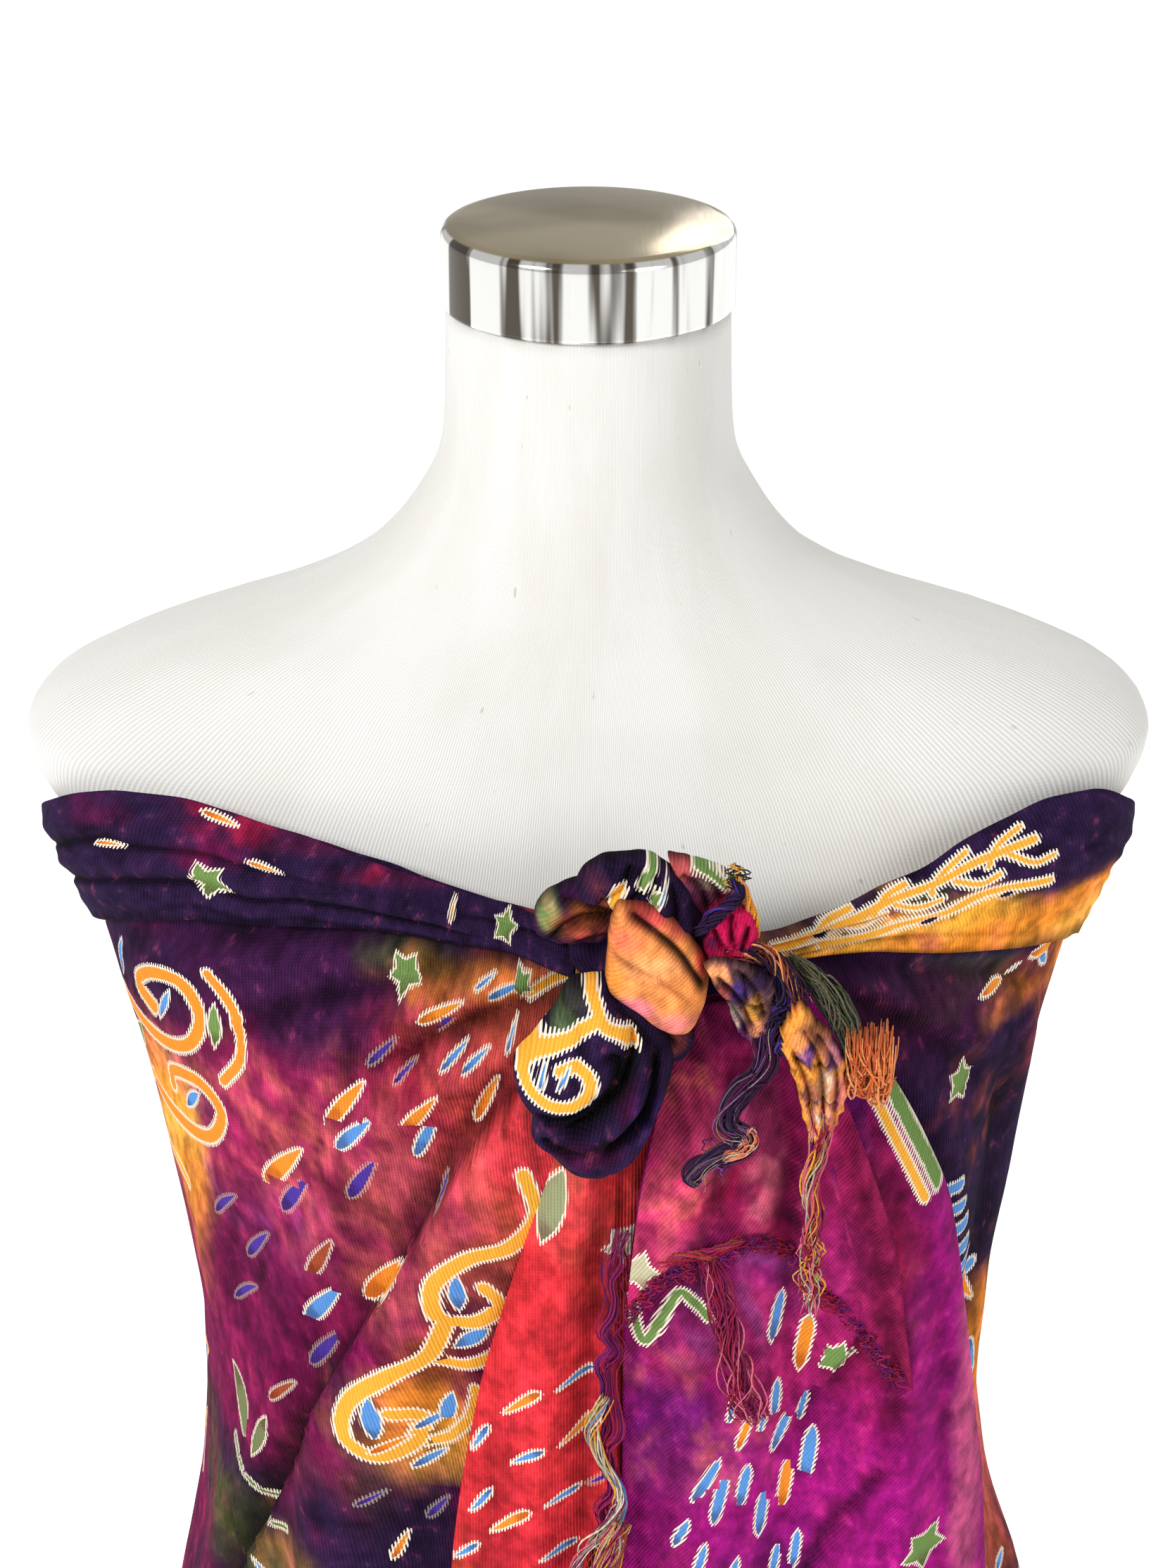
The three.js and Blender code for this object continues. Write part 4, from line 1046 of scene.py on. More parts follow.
def make_wrap_left():
    p, cloth, degrees, light = wrap_sheet(-1, 166, 130)
    s = Cloth("sarong_wrap_left", p, cloth, ("wrap_left",), "violet_cloth", CENTRE)
    front = smooth(118, 96, np.abs(degrees))
    pools = """
        -100 1240 90 60 rose 0.3, -60 1270 50 40 rose 0.4, -95 1350 140 34 night 1,
        -110 1322 120 24 dusk 0.95, -60 1330 60 16 dusk 0.8, -156 1290 30 42 plum 0.75,
        -160 1312 26 20 night 0.75, -152 1268 16 12 indigo 0.4 0.4, -150 1240 13 40 amber 1,
        -144 1205 9 34 orange 0.8, -156 1262 16 20 orange 0.7, -108 1282 50 22 salmon 0.55 0.9,
        -96 1262 46 26 salmon 0.6 0.9, -70 1246 52 42 salmon 0.45 1,
        -112 1222 30 26 lilac 0.35 0.8, -44 1300 34 26 red 0.6, -30 1298 26 44 coral 0.85,
        -20 1270 18 36 red 0.8, -34 1318 34 10 rust 0.6, -58 1304 30 20 plum 0.45 0.7,
        -42 1331 34 8 orange 0.75 0.4, -14 1334 22 8 orange 0.6 0.5, -58 1336 20 6 moss 0.6,
        -20 1340 30 6 night 0.8, -62 1230 22 26 salmon 0.5 0.6, -76 1212 14 12 orange 0.6 0.5,
        -104 1180 60 56 wine 0.85, -120 1200 30 30 plum 0.5 0.6, -100 1126 60 32 wine 0.9,
        -116 1090 44 16 dusk 0.7, -128 1070 26 34 moss 0.95, -106 1082 16 22 amber 0.75 0.5,
        -132 1100 14 14 night 0.7, -34 1222 22 34 rust 0.85 0.3, -44 1206 20 20 dusk 0.8 0.6,
        -30 1250 14 22 rust 0.6, -56 1196 18 16 rust 0.8, -62 1164 26 20 orange 0.95,
        -50 1146 20 18 amber 0.7, -82 1168 14 18 night 0.9 0.3, -84 1128 26 20 moss 0.5 0.6,
        -84 1096 36 40 night 1, -60 1106 24 34 night 0.95, -96 1010 70 60 night 0.85,
        -120 900 70 90 wine 0.8, -90 760 60 90 red 0.7, -70 560 70 70 amber 0.6"""
    s.drops("""
        -39 1328 -31 1333 sky, -35 1325 -22 1331 sky, -59 1317 -42 1325 orange,
        -54 1313 -43 1322 indigo, -76 1301 -65 1312 indigo, -67 1295 -58 1305 indigo,
        -51 1302 -40 1312 sky, -44 1302 -33 1311 sky, -28 1309 -24 1320 sky,
        -91 1275 -76 1296 orange, -88 1267 -74 1283 sky, -64 1279 -51 1296 orange,
        -60 1268 -51 1288 sky, -39 1282 -30 1302 orange, -115 1243 -99 1265 orange,
        -84 1248 -73 1267 indigo, -109 1233 -97 1254 indigo, -54 1252 -48 1264 indigo,
        -136 1216 -126 1232 indigo, -124 1203 -114 1221 indigo, -100 1210 -90 1230 rust,
        -80 1205 -69 1221 orange, -102 1188 -87 1210 sky, -101 1170 -88 1189 indigo,
        -79 1150 -62 1156 orange, -63 1158 -48 1165 sky, -64 1139 -50 1147 sky,
        -85 1125 -72 1131 indigo, -59 1114 -50 1125 indigo, -72 1096 -65 1110 orange,
        -119 1063 -128 1073 sky, -131 1178 -120 1192 indigo, -118 1146 -106 1160 rust""")
    s.motif("star", -62, 1331, 7.8, 8, DYES["sage"])
    s.motif("star", -23, 1330, 6, -10, DYES["sage"])
    s.line("-20 1326, -11 1331, 0 1334", 2.2, DYES["amber"])
    # leaf scrolls, laid out for this part
    for (half, ink), places in drawn("""
        3.0 orange: -174 1326, -177 1308, -170 1291, -155 1284, -141 1290, -136 1304, -143 1315,
          -155 1314, -160 1304, -154 1298;
        3.0 orange: -168 1290, -172 1272, -164 1254, -149 1246, -135 1252, -130 1266, -138 1275,
          -149 1271, -150 1262;
        2.3 orange: -132 1322, -123 1310, -121 1294, -128 1281;
        2.3 amber: -160 1254, -164 1238, -158 1222, -148 1214;
        3.0 amber: -22 1270, -18 1252, -27 1240, -42 1237, -54 1226, -52 1211, -40 1206, -31 1213,
          -36 1222;
        3.0 amber: -50 1208, -56 1194, -70 1187, -85 1174, -87 1158, -75 1148, -62 1152, -60 1164,
          -70 1168;
        2.4 amber: -56 1192, -44 1186, -33 1190, -26 1200;
        2.2 amber: -62 1150, -50 1152, -42 1162, -40 1174"""):
        s.line(places, half, ink)
    s.drops("""
        -152 1294 -147 1310 sky, -145 1256 -138 1270 sky, -166 1258 -162 1282 sage,
        -168 1298 -166 1320 sky, -45 1211 -46 1231 sky, -76 1155 -78 1178 sky,
        -48 1194 -34 1203 sky, -52 1156 -48 1174 sky, -131 1292 -130 1312 sage""", "leaf")
    s.line("-134 1112, -130 1101, -121 1095, -112 1097", 1.2, DYES["sage"] * 0.7)
    s.drops("-134 1146 -129 1116 olive, -119 1138 -127 1112 olive", "leaf")
    scatter(s, (240, 825), (0, 1100), lambda u, v: v > 330 or u < 560)
    s.finish(dyed(s.x, s.z, s.u, s.v, pools, "wine", front, 11, light))
    return s


def make_wrap_right():
    p, cloth, degrees, light = wrap_sheet(1, 144, 120)
    s = Cloth("sarong_wrap_right", p, cloth, ("wrap_right",), "night_cloth", CENTRE)
    front = smooth(118, 96, np.abs(degrees))
    pools = """
        170 1284 12 40 rust 0.8 0.5, 172 1302 10 18 orange 0.8 0.5, 162 1270 10 26 plum 0.6 0.5,
        156 1312 16 10 rust 0.8 0.5, 148 1306 10 8 orange 0.7 0.7, 112 1318 40 10 moss 0.4,
        86 1322 36 16 dusk 0.8, 136 1262 16 30 rust 0.4 1, 150 1112 14 56 orange 0.95,
        152 1050 26 54 salmon 0.9, 120 1280 34 34 dusk 0.5 0.6, 160 980 30 70 rust 0.8,
        110 1310 30 16 plum 0.6, 130 800 60 90 violet 0.8"""
    s.motif("star", 131, 1280, 8.0, 10, DYES["sage"])
    s.drops("""
        136 1311 145 1314 orange, 154 1321 165 1318 orange, 146 1315 152 1318 sky,
        160 1318 163 1310 sky""", "leaf")
    for k in range(6):
        x, z = 129 + 1.8 * k, 1233 - 11.0 * k
        s.line([(x - 4, z - 1), (x, z), (x + 5, z + 0.5)], 2.7, DYES["sky"])
    s.drops("140 1180 146 1160 orange, 146 1140 150 1118 sky")
    scatter(s, (-280, 240), (0, 1100), lambda u, v: v > 330 or u > -5)
    s.finish(dyed(s.x, s.z, s.u, s.v, pools, "night", front, 11, light))
    return s


def make_band(side):
    p, cloth, degrees, light = band_sheet(side, 224, 50)
    word = "left" if side < 0 else "right"
    s = Cloth("sarong_top_band_" + word, p, cloth, ("top_band_" + word,), "night_cloth",
              np.array((0, 0, 1350.0)))
    front = smooth(120, 100, degrees) + 0 * s.z
    if side < 0:
        pools = """
        -128 1378 22 7 crimson 0.5 0.9, -90 1373 44 5 crimson 0.6 0.8,
        -40 1362 40 4 crimson 0.5 0.7, -130 1366 14 6 wine 0.5 0.8, -176 1372 20 10 wine 0.3 0.8,
        -60 1348 60 8 night 0.8"""
        s.motif("star", -130, 1357, 7.6, 5, DYES["sage"])
        s.motif("star", -28, 1349, 6.5, 30, DYES["sage"])
        s.drops("""
        -172 1361 -160 1363 orange, -133 1379 -119 1375 orange, -117 1365 -104 1362 orange,
        -47 1349 -45 1357 orange""")
    else:
        pools = """
        90 1342 50 16 amber 1, 150 1336 60 13 orange 1, 180 1326 30 14 amber 0.8,
        124 1346 26 8 amber 0.9, 60 1342 16 8 rust 0.7 0.4, 156 1374 44 14 night 1,
        186 1360 22 11 night 1, 126 1361 30 10 night 0.95, 102 1354 26 8 night 0.95,
        80 1349 20 6 night 0.95, 60 1345 12 5 night 0.8, 116 1355 9 4 moss 0.7 0.3,
        152 1361 26 8 night 0.95, 174 1355 22 8 night 0.95, 110 1338 16 4 dusk 0.4 0.8"""
        # leafy sprigs, laid out for this part: places are x and the share down the band
        def sprig(half, *places):
            hidden = np.where(s.y[0] > 0, 900, 0)
            at = [s.c[int(share * (s.x.shape[0] - 1)), np.abs(s.x[0] - x + hidden).argmin()]
                  for x, share in places]
            s.lines.append((spline(at, 14), half, DYES["amber"]))

        sprig(1.7, (60, 0.44), (84, 0.30), (112, 0.20), (148, 0.20))
        sprig(1.5, (74, 0.60), (100, 0.54), (126, 0.46), (150, 0.50))
        for k in range(4):
            x = 74 + 19 * k
            sprig(1.3, (x, 0.34 - 0.03 * k), (x + 5, 0.16), (x + 14, 0.09))
            sprig(1.2, (x + 8, 0.31 - 0.03 * k), (x + 14, 0.40 - 0.02 * k),
                  (x + 22, 0.36 - 0.01 * k))
        s.drops("76 1343 84 1346 night, 112 1345 121 1347 night, 140 1350 148 1351 night", "leaf")
    scatter(s, (-295, 265) if side > 0 else (265, 825), (-60, 40), lambda u, v: abs(u - 265) < 230)
    s.finish(dyed(s.x, s.z, s.u, s.v, pools, "night", front, 90, light))
    return s


def make_fall_left():
    p, light = fall_sheet(FALL_LEFT, 104, 150, FALL_LINES["left"], 141)
    z = p[..., 2]
    cloth = np.stack([790 + 1.1 * p[..., 0], 1332 - z + 25], -1)
    s = Cloth("sarong_fall_left", p, cloth, ("fall_left",), "red_cloth", CENTRE)
    pools = """
        -12 1296 24 34 rust 0.9, 8 1310 20 26 plum 0.7, -16 1262 20 18 salmon 0.5 0.4,
        6 1240 14 24 rust 0.5 0.7, 22 1130 10 120 rust 0.8, 26 1080 12 60 dusk 0.8,
        -46 1080 18 40 rust 0.5, -20 1110 24 20 crimson 0.4 0.6, 0 900 60 70 fuchsia 0.7,
        -10 720 60 80 night 0.7, 10 560 50 60 amber 0.7"""
    s.drops("""
        3 1192 -12 1187 sky, -16 1187 -31 1173 orange, 6 1173 -11 1161 orange,
        -35 1167 -42 1153 sky, -15 1162 -28 1152 sky, -2 1141 -16 1136 sky, -34 1140 -43 1127 sky,
        -20 1134 -36 1120 orange, -39 1115 -50 1104 sky, -3 1117 -18 1112 sky,
        9 1149 -1 1140 indigo, 4 1098 -8 1088 orange, -24 1092 -38 1082 orange,
        -6 1070 -18 1062 sky""")
    s.drops("-17 1243 -8 1276 lichen", "leaf")
    s.motif("star", 12, 1243, 8, 0, DYES["pale"])
    scatter(s, (690, 925), (290, 1000), lambda u, v: v > 320)
    s.finish(dyed(s.x, s.z, s.u, s.v, pools, "scarlet", 1.0, 171, light, 0.4))
    return s


def make_fall_right():
    p, light = fall_sheet(FALL_RIGHT, 150, 170, FALL_LINES["right"], 151)
    z = p[..., 2]
    cloth = np.stack([1400 + 1.1 * p[..., 0], 1345 - z + 15], -1)
    s = Cloth("sarong_fall_right", p, cloth, ("fall_right",), "magenta_cloth", CENTRE, bias=0.62)
    pools = """
        30 1230 30 60 wine 0.7, 40 1216 20 16 lilac 0.4 0.8, 64 1200 30 40 rose 0.7,
        58 1226 20 24 lilac 0.4 0.8, 30 1170 22 30 violet 0.75, 26 1196 14 14 salmon 0.35 0.9,
        44 1158 26 18 salmon 0.5 0.9, 40 1148 22 12 pink 0.35 0.9, 96 1250 22 50 rose 0.7,
        102 1222 8 40 crimson 0.6 0.3, 88 1262 10 26 salmon 0.4 0.8, 110 1208 12 30 salmon 0.35 1,
        128 1200 16 70 fuchsia 0.9, 80 1120 50 50 fuchsia 0.6, 100 1180 14 30 crimson 0.5 0.5,
        62 1100 30 24 violet 0.6 0.4, 112 1110 24 44 fuchsia 0.8, 70 1290 30 30 wine 0.9,
        84 1296 12 20 violet 0.7, 140 1150 8 70 pink 0.4, 60 900 80 80 plum 0.8,
        100 760 60 80 red 0.7, 40 640 50 60 night 0.7"""
    s.motif("star", 86, 1200, 8, 15, DYES["sage"])
    s.motif("star", 122, 1108, 9.6, 0, DYES["sage"])
    s.line("15 1224, 17 1212, 20 1208, 26 1220, 31 1230, 36 1226, 41 1220", 1.9, DYES["sage"])
    s.drops("""
        69 1247 70 1261 orange, 84 1227 84 1250 sky, 75 1222 76 1238 sky, 63 1206 67 1228 sky,
        73 1191 77 1220 orange, 65 1173 66 1192 sky, 49 1174 51 1187 sky, 60 1168 62 1180 sky,
        52 1161 57 1178 orange, 65 1155 71 1176 sky, 74 1166 77 1182 sky, 77 1138 80 1167 sky,
        69 1126 72 1152 orange, 36 1140 47 1160 sky, 44 1129 49 1154 sky, 53 1133 57 1156 sky,
        61 1118 63 1142 sky, 74 1099 76 1119 sky, 38 1106 42 1124 sky, 66 1096 69 1114 sky,
        30 1118 36 1134 sky, 50 1098 54 1114 sky, 26 1090 32 1106 sky, 58 1078 60 1096 orange,
        82 1084 84 1100 sky, 44 1070 48 1088 sky""", "bar")
    ribbon = read("94 1306, 101 1291, 108 1276, 115 1260")
    for shift, half, ink in read("0 1.9 amber, 5.4 2.2 sage"):
        s.line([(x + shift, z + 0.25 * shift) for x, z in ribbon], half, ink)
    scatter(s, (1345, 1645), (300, 1000), lambda u, v: v > 320)
    s.finish(dyed(s.x, s.z, s.u, s.v, pools, "magenta", 1.0, 191, light, 0.75))
    return s


def make_flap():
    columns, rows = 86, 78
    across = np.linspace(0, 1, columns)[None, :]
    down = np.linspace(0, 1, rows)[:, None]
    share = across * mix(0.6, 0.62, down)
    low = FLAP_EDGE("z", across) + 1.6 * noise(300, across * 30, 0 * across) + 0 * down
    clipped = np.clip(share, 0, 1)
    top = FALL_RIGHT["top"]("z", clipped) - 2
    hem = FALL_RIGHT["hem"]("z", clipped)
    z0 = mix(top, low, down)
    x, y, z = fall_points(FALL_RIGHT, share, (top - z0) / (top - hem), 5.4)
    relief, light = drawn_relief(x, z, drawn(FALL_LINES["right"])[1:])
    relief += (gathers(x, z, 70, 1.2, 20, 154)
               + 0.8 * fractal(310, x / 13, z / 34, 3) * smooth(1340, 1300, z))
    relief += 2.0 * noise(312, x / 6, z / 20) * smooth(0.80, 1.0, down)
    cloth = np.stack([1400 + 1.1 * x, 1345 - z + 15], -1)
    s = Cloth("sarong_flap", np.stack([x, y - relief, z], -1), cloth, ("fall_flap",),
              "magenta_cloth", CENTRE, bias=0.62)
    pools = """
        44 1310 20 50 wine 0.7 0.5, 30 1240 24 20 rose 0.7, 32 1296 12 44 salmon 0.6 0.8,
        66 1296 14 50 wine 0.7, 50 1334 40 12 plum 0.6, 82 1236 14 40 violet 0.6 0.5,
        52 1262 22 26 crimson 0.5 0.7, 22 1256 12 30 salmon 0.5 0.8, 58 1280 8 40 pink 0.5 0.8,
        40 1250 14 10 violet 0.4 0.8"""
    s.motif("star", 17, 1240, 8, 20, DYES["pale"])
    s.finish(dyed(s.x, s.z, s.u, s.v, pools, "rose", 1.0, 211, light, 0.8))
    return s


wrap_left, wrap_right = make_wrap_left(), make_wrap_right()
band_left, band_right = make_band(-1), make_band(1)
fall_left, fall_right, flap = make_fall_left(), make_fall_right(), make_flap()


# ---------------------------------------------------------------- knot
def frames(centres):
    along = np.gradient(centres, axis=0)
    along /= np.linalg.norm(along, axis=1, keepdims=True)
    front = np.tile((0.0, -1.0, 0.0), (len(centres), 1))
    front -= along * (front * along).sum(1, keepdims=True)
    front /= np.linalg.norm(front, axis=1, keepdims=True)
    return along, front, np.cross(front, along)


def pad(name, node, middle, y, depth, outline, folds_in, pools, ground, strokes=(), drops=(),
        bias=0.0, seed=1, lean=(0.0, 0.0), rows=68, columns=140, back=0.5, ragged=0.0, crumple=0.7,
        fine=1.5, mottled=1.0):
    """A gathered lump of cloth: a cushion over an outline of x z places, with drawn folds in it."""
    outline = read(outline)
    edge = spline(outline + outline[:1], columns + 1)[:-1]
    middle = np.array(middle, float)
    turn = np.linspace(0, 1, columns, endpoint=False)
    edge = edge + (edge - middle) * (0.04 * noise(seed, turn * 22, 0 * turn)
                                     + ragged * noise(seed + 1, turn * 70, 0 * turn))[:, None]
    phi = np.linspace(0.03, math.pi - 0.03, rows)[:, None]
    out, up = np.sin(phi) ** 0.62, np.cos(phi)
    tall = np.sign(up) * np.abs(up) ** 0.75 * np.where(up > 0, depth, depth * back)
    x = middle[0] + (edge[:, 0] - middle[0])[None] * out
    z = middle[1] + (edge[:, 1] - middle[1])[None] * out
    base = y - tall + lean[0] * (x - middle[0]) + lean[1] * (z - middle[1])
    relief, light = drawn_relief(x, z, folds_in)
    relief += crumple * fractal(seed + 2, x / 5, z / 6, 2)
    front = smooth(-0.25, 0.25, up)
    p = np.stack([x, base - relief * front, z], -1)
    # painted shade: the back of the lump and the front towards its rim are darkened
    light = mix(0.35, light, front) * mix(0.62, 1, smooth(0.0, 0.55, up))
    points, quads, caps = closed_grid(p)
    made = build(name, points, quads, CLOTH_MATERIAL, node, caps)
    flat = np.stack([x + 40 * seed, -z], -1)
    colour = dyed(x, z, fine * (x + 30 * seed), fine * z, pools, ground, 1.0, 400 + seed, light,
                  mottled)
    lines = [(spline([(a + 40 * seed, -b) for a, b in places], 6 * len(places)), half, ink)
             for (half, ink), places in drawn(strokes)]
    motifs = []
    for ax, az, bx, bz, ink in read(drops):
        motifs.append(((ax + bx) / 2 + 40 * seed, -(az + bz) / 2, 1,
                       math.hypot(bx - ax, bz - az) / 2, math.atan2(ax - bx, bz - az), *ink))
    dress(made, ends(flat), ends(colour), lines, motifs, bias)


pad("knot_rust_fold", ("knot_crown",), (1, 1371), -144, 13,
    """
    -19 1366, -15 1375, -9 1379, -1 1381, 9 1379, 20 1373, 20 1367, 10 1365, 5 1361, 0 1360,
    -9 1360, -15 1362""",
    """
    valley 3.6 1.8 0.7: -14 1361, -7 1370, 1 1373, 12 1371;
    valley 2.6 1.4 0.6: -12 1377, -2 1377, 12 1372;
    ridge 1.6 2.5: -8 1366, 0 1368, 10 1368;
    valley 2.0 1.3 0.5: -5 1362, 2 1366, 10 1368""",
    """
    -13 1373 5 7 sage 0.9, 0 1370 12 7 rust 1 0.4, 2 1375 8 4 orange 0.5 0.5,
    12 1369 6 4 crimson 0.8, -14 1363 6 5 night 0.8""", "dusk", bias=0.9, seed=11)
pad("knot_dark_fold", ("knot_crown",), (19, 1379), -145, 14,
    """
    -6 1378, -1 1387, 5 1390, 11 1391, 18 1391, 24 1388, 30 1383, 35 1375, 38 1366, 33 1360,
    22 1364, 14 1368, 6 1374, 0 1377""",
    """
    valley 4.4 1.8 0.8: 3 1377, 10 1382, 14 1391;
    valley 4.0 1.5 0.75: 10 1375, 16 1382, 18 1391;
    valley 3.6 1.6 0.7: 17 1371, 20 1379, 22 1389;
    valley 3.2 1.6 0.6: 25 1367, 28 1376, 26 1386;
    ridge 2.4 2.6: 23 1370, 24 1378, 23 1386;
    ridge 2.0 2.4: 31 1368, 32 1374, 29 1382""",
    "2 1384 5 6 rust 0.3 0.6, 30 1372 8 8 night 0.8, 34 1367 5 5 dusk 0.6", "night",
    strokes="""
    1.7 sage: 19 1372, 20 1377, 23 1382;
    1.6 sage: 17 1384, 20 1388, 21 1391;
    2.0 amber: 8 1377, 9 1381, 10 1383""",
    drops="23 1379 25 1386 sky", bias=0.4, seed=12)
pad("knot_mauve_fold", ("knot_crown",), (36, 1379), -140, 11,
    "26 1388, 32 1387, 38 1385, 45 1382, 48 1377, 46 1370, 39 1365, 33 1372, 28 1380",
    """
    valley 2.8 1.4 0.6: 29 1385, 36 1380, 40 1370;
    valley 2.4 1.2 0.5: 33 1386, 40 1381, 45 1373""",
    "30 1386 6 4 salmon 0.8, 38 1376 6 6 plum 0.6 0.4, 41 1382 5 3 pale 0.6 0.4",
    "mauve", strokes="""
    1.2 sage: 35 1386, 41 1383, 45 1380""", bias=0.5, seed=13)
pad("knot_ruffle", ("knot_crown",), (18, 1337), -152, 12,
    "2 1349, 11 1346, 18 1341, 27 1336, 34 1333, 33 1322, 24 1320, 14 1326, 7 1336",
    """
    valley 3.4 1.3 0.75: 6 1344, 16 1337, 30 1329;
    valley 3.0 1.2 0.7: 8 1339, 18 1331, 28 1325;
    ridge 1.8 1.8: 7 1342, 17 1334, 30 1327""",
    "14 1338 8 4 rust 0.7 0.6, 26 1330 6 5 rust 0.5 0.6, 20 1334 8 3 night 0.8", "night",
    bias=-0.6, seed=14, rows=52, columns=112)
pad("knot_band_cloth", ("knot_band",), (22, 1357), -159, 13,
    """
    7 1374, 11 1380, 19 1379, 27 1373, 34 1366, 38 1358, 39 1350, 37 1342, 32 1334, 25 1336,
    17 1341, 9 1348, 5 1354, 6 1362, 6 1369""",
    """
    valley 2.4 1.2 0.93: 10 1380, 19 1375, 28 1367, 34 1358, 39 1349;
    ridge 0.9 2.0: 14 1381, 24 1375, 33 1366, 39 1356;
    valley 0.7 1.0 0.34: 6 1367, 14 1363, 24 1357, 36 1346;
    valley 0.4 1.4 0.12: 6 1358, 16 1353, 27 1345;
    valley 2.2 0.9 0.7: 5 1352, 14 1343, 24 1336, 33 1332""",
    """
    14 1347 9 5 pink 0.85, 27 1341 9 6 pink 0.6, 8 1358 4 6 orange 0.5, 11 1371 6 5 coral 0.6,
    22 1379 9 4 coral 1, 31 1373 7 5 coral 1, 38 1361 4 7 red 0.9, 20 1362 10 4 peach 0.8""",
    "tangerine",
    bias=0.95, seed=15, lean=(0.10, 0.10), crumple=0.08, fine=1.0, mottled=0.2)
pad("knot_loop_cloth", ("knot_loop",), (1, 1319), -162, 19,
    """
    5 1356, 14 1349, 23 1339, 28 1327, 26 1314, 21 1301, 16 1290, 10 1284, 2 1282, -4 1283,
    -11 1289, -18 1296, -19 1305, -24 1314, -25 1325, -19 1333, -13 1342, -8 1351, -1 1356""",
    """
    valley 7.5 2.2 0.9: 13 1346, 14 1333, 11 1321, 4 1312, -2 1307, -12 1303;
    valley 6.0 2.0 0.85: 21 1338, 21 1325, 18 1311, 10 1302, 3 1292;
    valley 5.0 2.0 0.85: 2 1333, 9 1332, 9 1325, 5 1317, -3 1311, -12 1308, -19 1312;
    valley 3.6 1.6 0.7: -17 1302, -9 1298, 1 1299, 8 1305;
    ridge 3.4 2.8: 17 1342, 18 1328, 15 1316, 8 1306, 0 1300, -10 1300;
    ridge 2.6 2.6: 24 1334, 24 1318, 19 1304, 12 1292, 4 1287;
    ridge 2.6 3.0: -14 1300, -6 1294, 2 1290;
    valley 3.0 1.4 0.7: 6 1356, 10 1348, 16 1341, 22 1334;
    valley 1.8 1.6 0.4: -6 1350, -2 1340, -4 1330""",
    """
    -6 1350 6 6 moss 0.8 0.5, -9 1343 5 5 sage 0.6 0.6, 20 1312 6 12 indigo 0.35 0.6,
    2 1296 12 6 plum 0.7, 12 1318 4 12 plum 0.7""", "night",
    strokes="""
    2.1 amber: 0 1357, 2 1351, 5 1345, 11 1341, 14 1337;
    2.3 amber: 3 1347, -5 1341, -14 1335, -21 1329, -20 1322, -13 1316, -5 1316, 0 1321, 0 1327,
      -4 1331, -9 1329""",
    drops="-10 1322 -6 1331 sky, -16 1321 -14 1331 sky", bias=0.25, seed=16)
pad("knot_bud_cloth", ("knot_bud",), (46, 1366), -150, 12,
    """
    37 1370, 40 1374, 44 1377, 50 1376, 54 1372, 55 1363, 52 1356, 47 1353, 40 1355, 37 1361""",
    """
    valley 3.4 1.0 0.6: 40 1371, 43 1365, 46 1361;
    valley 3.0 0.9 0.55: 46 1376, 46 1370, 47 1364;
    valley 2.8 0.9 0.5: 52 1372, 50 1366, 49 1362;
    valley 2.4 0.9 0.5: 41 1357, 45 1360, 49 1360, 53 1358;
    ridge 1.6 1.2: 43 1374, 44 1368, 46 1363;
    ridge 1.6 1.2: 49 1374, 48 1368, 48 1364""",
    "40 1366 4 5 night 0.85, 47 1358 6 3 crimson 0.7, 50 1368 5 6 cerise 0.6 0.5",
    "ruby", bias=0.3, seed=17, rows=52, columns=112, ragged=0.03)


def core():
    phi, theta = np.meshgrid(np.linspace(0.04, math.pi - 0.04, 40),
                             np.linspace(0, 2 * math.pi, 64, endpoint=False), indexing="ij")
    bump = 1 + 0.05 * np.cos(9 * theta + 3 * phi) + 0.04 * noise(480, theta * 2, phi * 3)
    p = np.stack([KNOT[0] + 25 * bump * np.sin(phi) * np.cos(theta),
                  KNOT[1] + 17 * bump * np.sin(phi) * np.sin(theta),
                  KNOT[2] + 19 * bump * np.cos(phi)], -1)
    points, quads, caps = closed_grid(p)
    made = build("knot_core_cloth", points, quads, CLOTH_MATERIAL, ("knot_core",),
                 caps)
    flat = np.stack([theta * 22, phi * 20], -1)
    dress(made, ends(flat), np.tile(DYES["night"] * 0.8, (len(points), 1)))


core()


